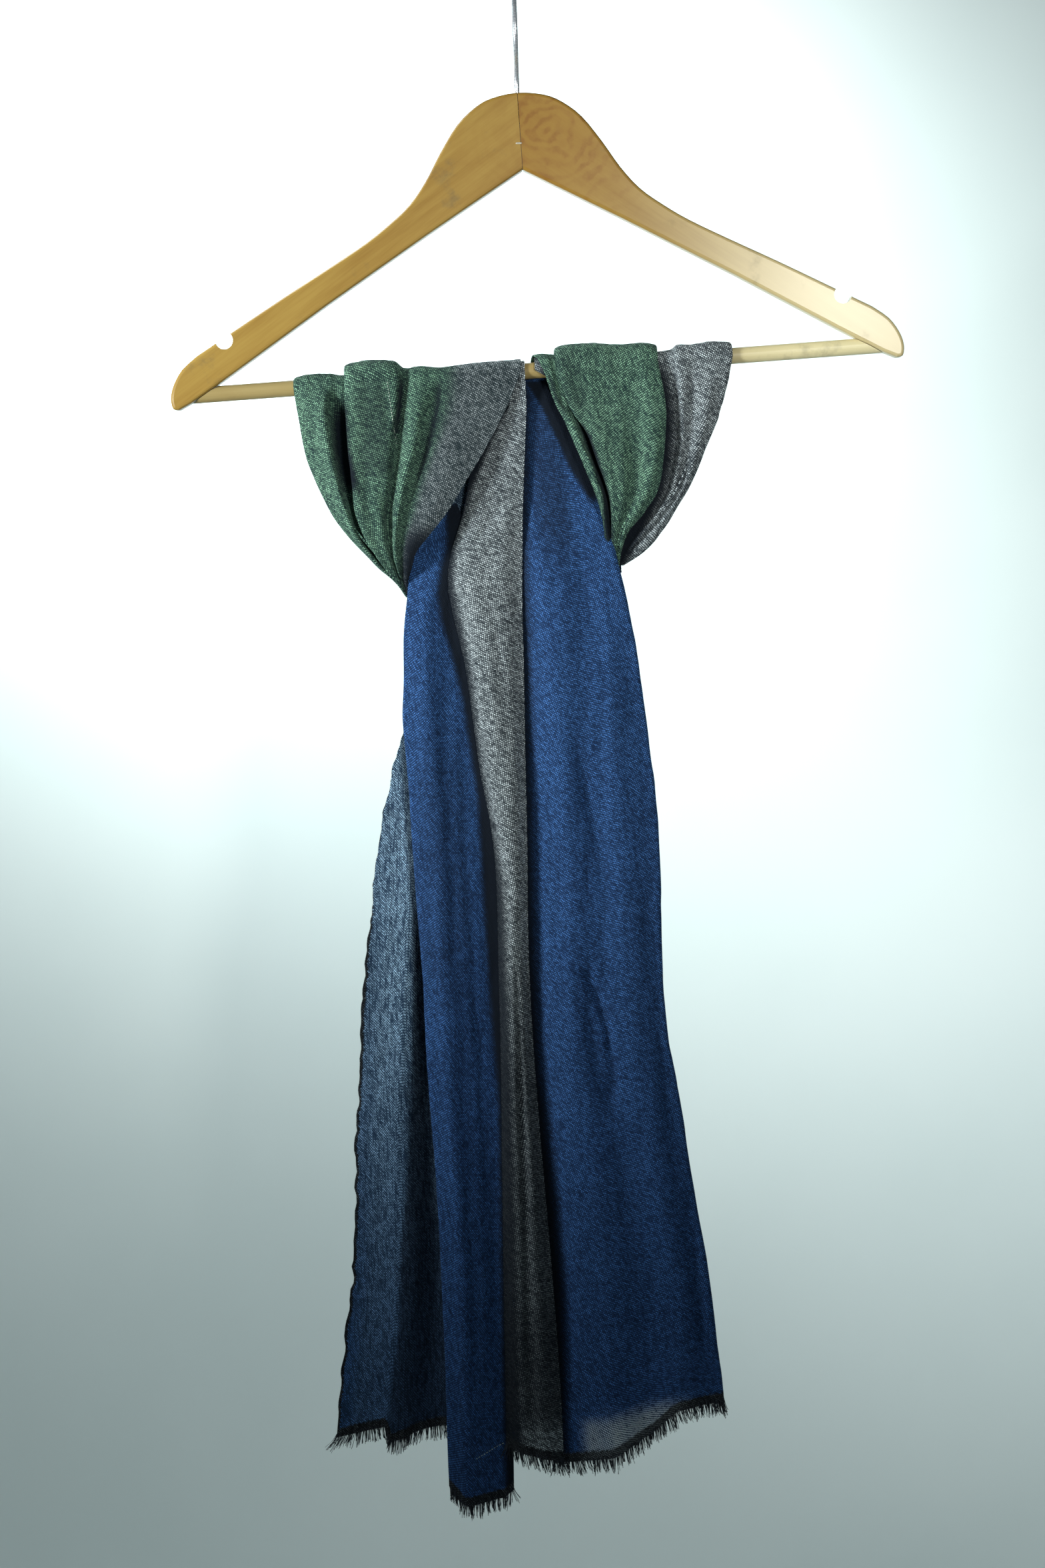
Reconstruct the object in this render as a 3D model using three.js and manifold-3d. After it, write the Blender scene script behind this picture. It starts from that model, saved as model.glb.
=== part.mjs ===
// A fringed woven scarf looped over the bar of a wooden hanger. Millimetres.
// Origin: the inner top of the hook, where the rail goes. +X along the hanger to the right,
// +Y away from the viewer, +Z up. The hanger hangs a little low on its left.
import * as THREE from 'three';
import { mergeVertices } from 'three/addons/utils/BufferGeometryUtils.js';
import Module from 'manifold-3d';

const wasm = await Module();
wasm.setup();

// ---- driving sizes -------------------------------------------------------------------
const GAP = 0.3;                  // clearance between neighbouring pieces
const CROWN_DROP = 56;            // rail seat down to the top of the hanger's crown
const HANGER_TILT = 2.2;          // degrees, right side high
const WOOD = 12;                  // thickness of the arms
const WOOD_ROUND = 2;             // rounding of the arms' edges
const EDGE_STEPS = 3;             // steps from point to point along an arm's edge
const BAR_DROP = 168;             // crown top down to the bar's axis
const BAR_R = 5;
const BAR_REACH = 230;            // half length of the bar before its ends are cut
const WIRE_R = 1.5;
const HOOK_R = 20.5;              // to the middle of the wire
const HOOK_START = 235;           // degrees round the bend where the stem joins it
const HOOK_END = -25;             // degrees round the bend where the wire stops
const STEM_DEPTH = 18;            // how far the stem goes into the crown
const STEM_TOP = 4;               // straight wire above the crown
const CLOTH = 1.2;                // wall of one stretch of cloth
const ON_BAR = 6.1;               // middle of a wall that rests on the bar, from the bar's axis
const BACK_BELLY = 5;             // how far a swag bellies out behind the bar
const FRINGE = 17;                // reach of the fringe below the hem
const FRINGE_WALL = 1.0;

// Edge of an arm, clockwise from the crown: along the top, round the tip and back beneath.
const ARM_TOP = [
  { x: 0, z: 0 }, { x: 16, z: -2.2 }, { x: 27, z: -7.3 }, { x: 38.5, z: -17 },
  { x: 50, z: -33 }, { x: 60, z: -49 }, { x: 71, z: -62.5 }, { x: 84, z: -73 },
  { x: 100, z: -83.8 }, { x: 124, z: -97.2 }, { x: 153, z: -112.8 }, { x: 186.6, z: -131.6 },
];
const ARM_TIP = [
  { x: 209, z: -144.2 }, { x: 219, z: -152 }, { x: 225, z: -161 }, { x: 227.4, z: -169 },
  { x: 226.4, z: -175.5 }, { x: 222.5, z: -176.4 },
];
const ARM_UNDER = [
  { x: 214, z: -172.4 }, { x: 187, z: -156.4 }, { x: 125, z: -118.6 }, { x: 60, z: -80.6 },
  { x: 0, z: -46.4 },
];
const NOTCH = { x: 191.4, z: -136, r: 5.5 };

// ---- colours -------------------------------------------------------------------------
const finish = (color, roughness, metalness = 0) =>
  new THREE.MeshStandardMaterial({ color, roughness, metalness });
const wood = finish(0xc9a873, 0.45);
const chrome = finish(0xd4d6d8, 0.2, 1);
const green = finish(0x47695a, 0.9);
const grey = finish(0x6b7374, 0.9);
const blue = finish(0x24446b, 0.9);
const dusk = finish(0x4e5b6d, 0.92);
const black = finish(0x14161a, 0.95);

// ---- cloth: shapes from tables -------------------------------------------------------
// Swags. A row per fold line, from the outer edge of the cloth to its inner edge. `lift`
// is how far the fold stands off the bar's axis, `x` where it lies at each level, `relief`
// how far it is pushed back from the swag's own depth there.
const LEFT_SWAG = {
  levels: [-246, -271, -289, -308, -322, -333, -343, -352, -361],
  depth: [-11, -16, -20, -23, -23, -20, -14.5, -8.5, -4.4],
  amount: [0.8, 1, 1, 1, 0.8, 0.6, 0.5, 0.3, 0.1],
  gather: { outer: { x: -36, z: -292 }, inner: { x: -12.6, z: -246 }, y: 7 },
  folds: [
    { fold: 'outer edge', lift: 6.1, top: -143.5, relief: 2.5,
      x: [-142.5, -138.7, -132, -123, -113.4, -104, -95, -86, -79.6] },
    { fold: 'outer ridge', lift: 7.7, top: -130, relief: -2.5,
      x: [-131.5, -129, -125, -118, -110.5, -102.4, -94, -85.4, -79.4] },
    { fold: 'deep valley', lift: 7, top: -119, relief: 4.5,
      x: [-119.6, -117.2, -115, -111.8, -107, -100, -92.8, -84.9, -79.3] },
    { fold: 'crisp ridge', lift: 12, top: -112, relief: -3.5,
      x: [-111.8, -111.2, -109.8, -108, -103.6, -97.8, -91.4, -84.3, -79.2] },
    { fold: 'broad ridge', lift: 13.4, top: -96, relief: -4,
      x: [-95.5, -96, -96.5, -97.5, -96, -92.8, -88.5, -83.4, -79.1] },
    { fold: 'narrow crease', lift: 9.8, top: -75, relief: 1.5,
      x: [-78.2, -81.6, -84.5, -88, -89.5, -88.4, -86, -82.7, -79] },
    { fold: 'middle ridge', lift: 7.2, top: -64, relief: -2.2,
      x: [-67, -72, -77.5, -82, -84.3, -85, -84, -82.1, -78.9] },
    { fold: 'soft valley', lift: 6.1, top: -53, relief: 1,
      x: [-55.8, -63.2, -70, -75.6, -79.4, -82, -82.2, -81.5, -78.8] },
    { fold: 'inner ridge', lift: 6.7, top: -31, relief: -1.5,
      x: [-33, -46, -54, -62, -70.5, -79.6, -81, -81, -78.6] },
    { fold: 'inner edge', lift: 6.1, top: -12.9, relief: -0.5,
      x: [-12.5, -27, -38.6, -51, -63.4, -77.8, -79.6, -80.3, -78.4] },
  ],
};
const GREEN_SWAG = {
  levels: [-246, -262, -280, -300, -313, -325, -336, -347],
  depth: [-14, -18, -21, -21.5, -18, -12.5, -7.6, -4.6],
  amount: [0.8, 1, 1, 0.9, 0.6, 0.35, 0.2, 0.05],
  gather: { outer: { x: 3.2, z: -238 }, inner: { x: 26, z: -268 }, y: 10 },
  folds: [
    { fold: 'inner edge', lift: 8.7, top: 2.4, relief: 1.9,
      x: [16.2, 22.8, 30.5, 38.5, 42, 44.6, 46.4, 50] },
    { fold: 'rolled ridge', lift: 9, top: 9, relief: -1.5,
      x: [19.6, 28, 35.5, 43, 45.5, 46.8, 48, 50.6] },
    { fold: 'deep valley', lift: 9.6, top: 16, relief: 2.8,
      x: [23.4, 32.2, 39.5, 46.5, 48.4, 48.9, 49.6, 51.1] },
    { fold: 'broad ridge', lift: 14.2, top: 39, relief: -3,
      x: [42.5, 47.5, 52.8, 55.6, 54.2, 51.8, 51.2, 51.6] },
    { fold: 'soft trough', lift: 12, top: 58, relief: 0.4,
      x: [62, 65, 66.4, 64, 59.4, 54.6, 52.8, 52.1] },
    { fold: 'side ridge', lift: 11.4, top: 71, relief: -2.4,
      x: [76, 77.2, 76.4, 71.4, 64.6, 57.2, 54.2, 52.6] },
    { fold: 'outer edge', lift: 9.8, top: 80.5, relief: 0.6,
      x: [84.2, 84, 82.4, 78, 70, 59.8, 55.4, 53] },
  ],
};
const GREY_SWAG = {
  levels: [-246, -262, -280, -300, -313, -325, -336, -346],
  depth: [-8, -10.5, -13, -14, -11.6, -7.6, -3.8, -1.4],
  amount: [1, 1, 1, 1, 0.8, 0.5, 0.3, 0.1],
  gather: { outer: { x: 4.5, z: -240 }, inner: { x: 40, z: -296 }, y: 6.5 },
  folds: [
    { fold: 'hidden edge', lift: 7.2, top: 5, relief: 0.5,
      x: [40, 55, 62, 62, 58, 54.6, 53.4, 53.2] },
    { fold: 'hidden part', lift: 6.1, top: 45, relief: 0.5,
      x: [62, 70, 73, 69, 63, 57.6, 54.6, 53.5] },
    { fold: 'valley by the green edge', lift: 6.4, top: 84, relief: 1,
      x: [86, 87, 86, 81, 74, 64.4, 57.4, 53.9] },
    { fold: 'near ridge', lift: 9, top: 92, relief: -1.8,
      x: [93, 94, 91.5, 86.5, 79, 69.4, 60.4, 54.4] },
    { fold: 'trough', lift: 8.4, top: 103, relief: 0.8,
      x: [102.5, 101, 97, 90.5, 83, 73.8, 63, 54.9] },
    { fold: 'far ridge', lift: 9.2, top: 114, relief: -1.6,
      x: [112, 108.5, 102, 94, 86.5, 77.8, 66.4, 55.4] },
    { fold: 'outer edge', lift: 8.2, top: 126.5, relief: 1.5,
      x: [120.7, 115, 107, 97.4, 89.6, 81.8, 70.8, 56.2] },
  ],
};

// Hanging stretches. `sections` gives the two side edges and the depth at each level.
// `folds`: where across the stretch a fold lies at its top and at its foot, how far it
// stands back (or forward, when negative), how wide it is and between which levels.
// `hem`: how much the foot rises at places across the stretch.
const GREY_TAIL = {
  sections: [
    { z: -246, left: -11.9, right: -0.9, y: -7.5 }, { z: -275, left: -33, right: -3, y: -9.5 },
    { z: -310, left: -42.5, right: -5.5, y: -11.2 }, { z: -335, left: -50.8, right: -6.6, y: -11.6 },
    { z: -352, left: -53.4, right: -7.4, y: -12.6 }, { z: -371, left: -51.2, right: -8, y: -13.3 },
    { z: -410, left: -43.9, right: -8.4, y: -13.8 }, { z: -465, left: -38.4, right: -9.3, y: -14 },
    { z: -525, left: -30.2, right: -10.4, y: -14 }, { z: -590, left: -30.4, right: -11.6, y: -13.8 },
    { z: -660, left: -31.2, right: -10, y: -13.4 }, { z: -760, left: -33.5, right: -5.1, y: -13 },
    { z: -860, left: -35.8, right: -0.8, y: -12.6 }, { z: -901, left: -36.6, right: -0.2, y: -12.4 },
  ],
  folds: [
    { top: 0.48, foot: 0.5, back: -7, width: 0.42, from: -285, to: -930 },
    { top: 0, foot: 0, back: 4.7, width: 0.16, from: -250, to: -920 },
    { top: 1, foot: 1, back: 3.6, width: 0.18, from: -250, to: -920 },
    { top: 0.62, foot: 0.46, back: 2.2, width: 0.11, from: -560, to: -920 },
    { top: 0.45, foot: 0.7, back: 1.2, width: 0.14, from: -290, to: -470 },
  ],
  hem: [],
};
const BLUE_STRIP = {
  sections: [
    { z: -304, left: -58, right: -46, y: -6.2 }, { z: -320, left: -62.4, right: -42, y: -6.8 },
    { z: -337, left: -71.8, right: -46, y: -7 }, { z: -361, left: -78.6, right: -48, y: -8.6 },
    { z: -383, left: -81.9, right: -44, y: -9.9 }, { z: -410, left: -83.4, right: -39.5, y: -10.4 },
    { z: -440, left: -84.9, right: -36.5, y: -10.6 }, { z: -480, left: -82.8, right: -32, y: -10.6 },
    { z: -525, left: -82.2, right: -26.5, y: -10.6 }, { z: -575, left: -80.4, right: -26, y: -10.4 },
    { z: -612, left: -78.9, right: -26.5, y: -10.2 }, { z: -660, left: -78.4, right: -27, y: -10 },
    { z: -757, left: -75.1, right: -29.5, y: -9.6 }, { z: -857, left: -74.2, right: -31, y: -9.2 },
    { z: -938, left: -75.1, right: -33, y: -9 },
  ],
  folds: [
    { top: 0.3, foot: 0.3, back: -8, width: 0.24, from: -325, to: -950 },
    { top: 0.82, foot: 0.86, back: 1.6, width: 0.16, from: -300, to: -950 },
    { top: 0.62, foot: 0.6, back: -1, width: 0.12, from: -420, to: -950 },
  ],
  hem: [{ at: 0, rise: 12 }, { at: 0.4, rise: 2 }, { at: 0.8, rise: 0 }, { at: 1, rise: 4 }],
};
const BLUE_PANEL = {
  sections: [
    { z: -231.5, left: -3.5, right: 10, y: 2.2 }, { z: -246, left: -5, right: 19, y: -2.4 },
    { z: -262, left: -6.5, right: 27, y: -4.4 }, { z: -280, left: -8, right: 34, y: -5.8 },
    { z: -300, left: -9.5, right: 39, y: -7 }, { z: -313, left: -11, right: 40.2, y: -8 },
    { z: -325, left: -12, right: 42.6, y: -9.4 }, { z: -336, left: -12.5, right: 46.8, y: -10.8 },
    { z: -348, left: -13, right: 50.6, y: -11.4 }, { z: -367, left: -13.5, right: 55.8, y: -11.6 },
    { z: -392, left: -14, right: 60.5, y: -11.6 }, { z: -426, left: -14.5, right: 64.5, y: -11.4 },
    { z: -491, left: -15.5, right: 71.2, y: -11 }, { z: -531, left: -16, right: 72.5, y: -10.8 },
    { z: -572, left: -17, right: 72.2, y: -10.6 }, { z: -613, left: -17.5, right: 72.4, y: -10.4 },
    { z: -645, left: -17, right: 74.8, y: -10.2 }, { z: -678, left: -16, right: 80.1, y: -10 },
    { z: -743, left: -12.5, right: 88.5, y: -9.8 }, { z: -823, left: -9, right: 98.6, y: -9.4 },
    { z: -911, left: -6.5, right: 104.1, y: -9 },
  ],
  folds: [
    { top: 0, foot: 0, back: 4.6, width: 0.22, from: -240, to: -930 },
    { top: 0.99, foot: 0.99, back: 2.6, width: 0.14, from: -345, to: -930 },
    { top: 0.46, foot: 0.6, back: 1.3, width: 0.08, from: -440, to: -545 },
    { top: 0.42, foot: 0.58, back: 2.2, width: 0.07, from: -590, to: -700 },
    { top: 0.75, foot: 0.78, back: -5, width: 0.15, from: -350, to: -930 },
    { top: 0.36, foot: 0.36, back: -8, width: 0.2, from: -290, to: -930 },
  ],
  hem: [
    { at: 0, rise: 0 }, { at: 0.3, rise: 5 }, { at: 0.48, rise: 12 }, { at: 0.6, rise: 21 },
    { at: 0.7, rise: 32 }, { at: 0.85, rise: 34.5 }, { at: 1, rise: 36 },
  ],
};
const BACK_TAIL = {
  sections: [
    { z: -236, left: -30, right: 4, y: 4.4 }, { z: -255, left: -36, right: 12, y: 3.2 },
    { z: -290, left: -46, right: 24, y: 1.4 }, { z: -330, left: -58, right: 36, y: -0.6 },
    { z: -365, left: -64, right: 46, y: -0.4 }, { z: -410, left: -74, right: 53, y: 1.6 },
    { z: -450, left: -87.5, right: 58, y: 3 }, { z: -483, left: -96.9, right: 61, y: 3.6 },
    { z: -524, left: -105.8, right: 63, y: 4 }, { z: -564, left: -111.2, right: 63.5, y: 4.2 },
    { z: -601, left: -116.2, right: 63.5, y: 4.4 }, { z: -655, left: -121.4, right: 66, y: 4.6 },
    { z: -702, left: -126.4, right: 70, y: 4.8 }, { z: -783, left: -130.6, right: 78, y: 5 },
    { z: -844, left: -140.2, right: 84, y: 5 }, { z: -902, left: -147.4, right: 88, y: 5 },
  ],
  folds: [
    { top: 0.17, foot: 0.16, back: -5, width: 0.07, from: -450, to: -930 },
    { top: 0.25, foot: 0.26, back: 9, width: 0.08, from: -400, to: -930 },
    { top: 0.45, foot: 0.44, back: -4, width: 0.09, from: -300, to: -930 },
    { top: 0.62, foot: 0.64, back: 9, width: 0.1, from: -330, to: -930 },
    { top: 0.85, foot: 0.84, back: -4, width: 0.1, from: -330, to: -930 },
  ],
  hem: [{ at: 0, rise: 0 }, { at: 0.3, rise: 3 }, { at: 0.6, rise: 12 }, { at: 1, rise: 22 }],
};
// The loop of cloth behind the hanging stretches, from swag tip to swag tip.
const BAND = [
  { x: -81, top: -347, foot: -357.5, y: -3.4 }, { x: -70, top: -334, foot: -360, y: 5 },
  { x: -50, top: -326, foot: -364, y: 7.6 }, { x: -15, top: -324, foot: -366, y: 8.6 },
  { x: 20, top: -324, foot: -362, y: 8.2 }, { x: 42, top: -328, foot: -356, y: 5.6 },
  { x: 55, top: -338, foot: -350, y: 1.2 },
];

// ---- small helpers -------------------------------------------------------------------
const lerp = (a, b, t) => a + (b - a) * t;
const smooth = (t) => { const c = Math.min(1, Math.max(0, t)); return c * c * (3 - 2 * c); };

// A smooth curve through `values`, read at t steps along them.
function through(values, t) {
  const last = values.length - 1;
  const i = Math.min(last - 1, Math.max(0, Math.floor(t)));
  const f = t - i;
  const [b, c] = [values[i], values[i + 1]];
  const m0 = i > 0 ? (c - values[i - 1]) / 2 : c - b;
  const m1 = i < last - 1 ? (values[i + 2] - b) / 2 : c - b;
  return b + f * (m0 + f * (3 * (c - b) - 2 * m0 - m1 + f * (2 * (b - c) + m0 + m1)));
}

// The bar's axis height at x, on the tilted hanger.
function barZ(x) {
  const tilt = THREE.MathUtils.degToRad(HANGER_TILT);
  return -CROWN_DROP - BAR_DROP / Math.cos(tilt) + x * Math.tan(tilt);
}

// A closed wall either side of a grid of middle points, rows of Vector3.
function wall(grid, thickness) {
  const rows = grid.length, cols = grid[0].length;
  const at = (i, j) => grid[Math.min(rows - 1, Math.max(0, i))][Math.min(cols - 1, Math.max(0, j))];
  const positions = [];
  for (const side of [0.5, -0.5]) {
    for (let k = 0; k < rows * cols; k++) {
      const i = Math.floor(k / cols), j = k % cols;
      const across = at(i, j + 1).clone().sub(at(i, j - 1));
      const down = at(i + 1, j).clone().sub(at(i - 1, j));
      const push = across.cross(down).normalize().multiplyScalar(side * thickness);
      positions.push(...push.add(at(i, j)).toArray());
    }
  }
  const front = (i, j) => i * cols + j, back = (i, j) => rows * cols + front(i, j);
  const faces = [];
  const quad = (a, b, c, d) => faces.push(a, b, c, a, c, d);
  for (let i = 0; i < rows - 1; i++) {
    for (let j = 0; j < cols - 1; j++) {
      quad(front(i, j), front(i, j + 1), front(i + 1, j + 1), front(i + 1, j));
      quad(back(i, j), back(i + 1, j), back(i + 1, j + 1), back(i, j + 1));
    }
  }
  for (let j = 0; j < cols - 1; j++) {
    quad(front(0, j), back(0, j), back(0, j + 1), front(0, j + 1));
    quad(front(rows - 1, j), front(rows - 1, j + 1), back(rows - 1, j + 1), back(rows - 1, j));
  }
  for (let i = 0; i < rows - 1; i++) {
    quad(front(i, 0), front(i + 1, 0), back(i + 1, 0), back(i, 0));
    quad(front(i, cols - 1), back(i, cols - 1), back(i + 1, cols - 1), front(i + 1, cols - 1));
  }
  const geometry = new THREE.BufferGeometry();
  geometry.setAttribute('position', new THREE.Float32BufferAttribute(positions, 3));
  geometry.setIndex(faces);
  return geometry;
}

// A swag: gathered behind the bar, up over it and down in front to its tip.
function swagGrid(swag, perFold, perLevel, backRows, bendRows) {
  const { folds, levels, depth, amount, gather } = swag;
  const column = (t) => {
    const read = (pick) => through(folds.map(pick), t);
    const top = read((f) => f.top), lift = read((f) => f.lift), relief = read((f) => f.relief);
    const share = t / (folds.length - 1);
    const points = [];
    const endX = lerp(gather.outer.x, gather.inner.x, share);
    const endZ = lerp(gather.outer.z, gather.inner.z, share);
    for (let k = 0; k < backRows; k++) {
      const s = k / backRows;
      points.push(new THREE.Vector3(
        lerp(endX, top, 1 - (1 - s) * (1 - s)),
        lerp(gather.y, lift, s) + BACK_BELLY * Math.sin(Math.PI * s),
        lerp(endZ, barZ(top), s ** 1.4)));
    }
    for (let k = 0; k <= bendRows; k++) {
      const turn = Math.PI * k / bendRows;
      points.push(new THREE.Vector3(top, lift * Math.cos(turn), barZ(top) + lift * Math.sin(turn)));
    }
    const xs = [top, ...levels.map((z, i) => read((f) => f.x[i]))];
    const ys = [-lift, ...levels.map((z, i) => depth[i] + relief * amount[i])];
    const zs = [barZ(top), ...levels];
    for (let k = 1; k <= levels.length * perLevel; k++) {
      const s = k / perLevel;
      points.push(new THREE.Vector3(through(xs, s), through(ys, s), through(zs, s)));
    }
    return points;
  };
  const columns = [];
  for (let k = 0; k <= (folds.length - 1) * perFold; k++) columns.push(column(k / perFold));
  return columns[0].map((_, i) => columns.map((points) => points[i]));
}

// A hanging stretch, `across` steps wide and `perSection` steps from section to section.
function tailGrid(tail, across, perSection) {
  const { sections, folds, hem } = tail;
  const rise = (u) => {
    if (!hem.length) return 0;
    const k = Math.max(1, hem.findIndex((h) => h.at >= u));
    return lerp(hem[k - 1].rise, hem[k].rise, (u - hem[k - 1].at) / (hem[k].at - hem[k - 1].at));
  };
  const foot = sections.at(-1).z;
  const rows = [];
  for (let k = 0; k <= (sections.length - 1) * perSection; k++) {
    const t = k / perSection;
    const read = (key) => through(sections.map((s) => s[key]), t);
    const [z, left, right, y] = ['z', 'left', 'right', 'y'].map(read);
    const row = [];
    for (let j = 0; j <= across; j++) {
      const u = j / across;
      let back = 0;
      for (const f of folds) {
        const v = (f.from - z) / (f.from - f.to);
        const place = (u - lerp(f.top, f.foot, Math.min(1, Math.max(0, v)))) / f.width;
        back += f.back * Math.exp(-place * place) * smooth(v * 6) * (f.to > foot ? smooth((1 - v) * 6) : 1);
      }
      row.push(new THREE.Vector3(lerp(left, right, u), y + back,
        z + rise(u) * smooth((foot + 70 - z) / 70)));
    }
    rows.push(row);
  }
  return rows;
}

// The grey stretch starts behind the bar, so its first rows go up and over.
function greyTailGrid() {
  const hanging = tailGrid(GREY_TAIL, 10, 1);
  const over = [];
  const row = (y, rise) => hanging[0].map(({ x }) => new THREE.Vector3(x - GAP, y, barZ(x) + rise));
  for (const drop of [26, 12]) over.push(row(ON_BAR, -drop));
  for (let k = 0; k <= 6; k++) {
    const turn = Math.PI * k / 6;
    over.push(row(ON_BAR * Math.cos(turn), ON_BAR * Math.sin(turn)));
  }
  return [...over, ...hanging];
}

function bandGrid() {
  const rows = [];
  for (let k = 0; k <= (BAND.length - 1) * 2; k++) {
    const [x, top, foot, y] = ['x', 'top', 'foot', 'y'].map((key) => through(BAND.map((b) => b[key]), k / 2));
    rows.push([0, 0.25, 0.5, 0.75, 1].map((u) =>
      new THREE.Vector3(x, y + 1.6 * Math.sin(Math.PI * 2 * u), lerp(foot, top, u))));
  }
  return rows;
}

// The plain solid a fringe fills: straight down from the last row of its stretch.
function fringeGrid(grid) {
  const hem = grid.at(-1);
  const down = (drop) => hem.map((p) => new THREE.Vector3(p.x, p.y, p.z - drop));
  return [down(GAP * 1.5), down(FRINGE)];
}

// ---- hanger --------------------------------------------------------------------------
function toSolid(geometry) {
  const plain = geometry.clone();
  for (const key of Object.keys(plain.attributes)) if (key !== 'position') plain.deleteAttribute(key);
  const merged = mergeVertices(plain.index ? plain.toNonIndexed() : plain, 1e-4);
  return new wasm.Manifold(new wasm.Mesh({
    numProp: 3,
    vertProperties: new Float32Array(merged.attributes.position.array),
    triVerts: new Uint32Array(merged.index.array),
  }));
}

function toGeometry(solid) {
  const mesh = solid.getMesh();
  const geometry = new THREE.BufferGeometry();
  geometry.setAttribute('position', new THREE.BufferAttribute(new Float32Array(mesh.vertProperties), 3));
  geometry.setIndex(new THREE.BufferAttribute(new Uint32Array(mesh.triVerts), 1));
  return geometry;
}

const flat = (points) => points.map((p) => new THREE.Vector2(p.x, p.z));
const mirrored = (points) => points.map((p) => new THREE.Vector2(-p.x, p.y)).reverse();

// A smooth edge through the given points.
function eased(points) {
  return new THREE.SplineCurve(points).getPoints((points.length - 1) * EDGE_STEPS);
}

// Both arms in one, edges rounded, before the joint in the middle is cut.
function armsBlank() {
  const top = eased([...mirrored(flat(ARM_TOP)), ...flat(ARM_TOP).slice(1)]);
  const rightSide = [...eased(flat(ARM_TIP)), ...flat(ARM_UNDER)];
  const outline = [...top, ...rightSide, ...mirrored(rightSide.slice(0, -1))];
  const geometry = new THREE.ExtrudeGeometry(new THREE.Shape(outline.reverse()), {
    depth: WOOD - 2 * WOOD_ROUND, bevelThickness: WOOD_ROUND, bevelSize: WOOD_ROUND,
    bevelOffset: -WOOD_ROUND, bevelSegments: 3, steps: 1, curveSegments: 1,
  });
  geometry.translate(0, 0, -WOOD / 2 + WOOD_ROUND);
  geometry.rotateX(Math.PI / 2);
  return toSolid(geometry);
}

function tilted(geometry) {
  geometry.rotateY(-THREE.MathUtils.degToRad(HANGER_TILT));
  return geometry.translate(0, 0, -CROWN_DROP);
}

function box(width, depth, height, x, y, z) {
  return toSolid(new THREE.BoxGeometry(width, depth, height).translate(x, y, z));
}

// One arm: the half of the blank on its own side of the joint, bored for the hook's stem.
function arm(blank, side) {
  const reach = 300;
  const half = blank.subtract(box(reach, 60, reach * 2, -side * (reach / 2 - GAP / 2), 0, -80));
  const bore = new THREE.CylinderGeometry(WIRE_R + GAP, WIRE_R + GAP, 40, 24);
  bore.translate(0, 19 - STEM_DEPTH, 0).rotateX(Math.PI / 2);
  bore.rotateY(THREE.MathUtils.degToRad(HANGER_TILT));
  const notch = new THREE.CylinderGeometry(NOTCH.r, NOTCH.r, 2 * WOOD, 32);
  notch.translate(side * NOTCH.x, 0, NOTCH.z);
  return tilted(toGeometry(half.subtract(toSolid(bore)).subtract(toSolid(notch))));
}

// The bar, its ends cut along the undersides of the arms.
function bar() {
  const rod = new THREE.CylinderGeometry(BAR_R, BAR_R, 2 * BAR_REACH, 32).rotateZ(Math.PI / 2);
  rod.translate(0, 0, -BAR_DROP);
  let solid = toSolid(rod);
  const [outer, inner] = ARM_UNDER;
  const slope = Math.atan2(inner.z - outer.z, outer.x - inner.x);
  for (const side of [1, -1]) {
    const cut = new THREE.BoxGeometry(160, 40, 60).translate(0, 0, 30 - GAP);
    cut.rotateY(side * slope).translate(side * outer.x, 0, outer.z);
    solid = solid.subtract(toSolid(cut));
  }
  return tilted(toGeometry(solid));
}

// The hook: stem out of the crown, forward round the rail, over it and down behind.
function hook() {
  const centre = WIRE_R - HOOK_R;
  const turn = (degrees) => {
    const a = THREE.MathUtils.degToRad(degrees);
    return new THREE.Vector3(0, HOOK_R * Math.cos(a), centre + HOOK_R * Math.sin(a));
  };
  const join = turn(HOOK_START);
  const a = THREE.MathUtils.degToRad(HOOK_START);
  const meet = join.z + join.y * Math.cos(a) / Math.sin(a);
  const stemTop = new THREE.Vector3(0, 0, -CROWN_DROP + STEM_TOP);
  const stemFoot = new THREE.Vector3(0, 0, -CROWN_DROP - STEM_DEPTH);
  const bend = new THREE.QuadraticBezierCurve3(stemTop, new THREE.Vector3(0, 0, meet), join);
  const points = [stemFoot, stemFoot.clone().lerp(stemTop, 0.5), ...bend.getPoints(6)];
  for (let d = HOOK_START - 12; d > HOOK_END; d -= 12) points.push(turn(d));
  points.push(turn(HOOK_END));
  const path = new THREE.CatmullRomCurve3(points);
  const round = new THREE.Shape().absarc(0, 0, WIRE_R, 0, Math.PI * 2);
  return new THREE.ExtrudeGeometry(round, {
    extrudePath: path, steps: 52, curveSegments: 7, bevelEnabled: false,
  });
}

// ---- the object ----------------------------------------------------------------------
function named(name, geometry, material) {
  const mesh = new THREE.Mesh(geometry, material);
  mesh.name = name;
  return mesh;
}

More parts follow.
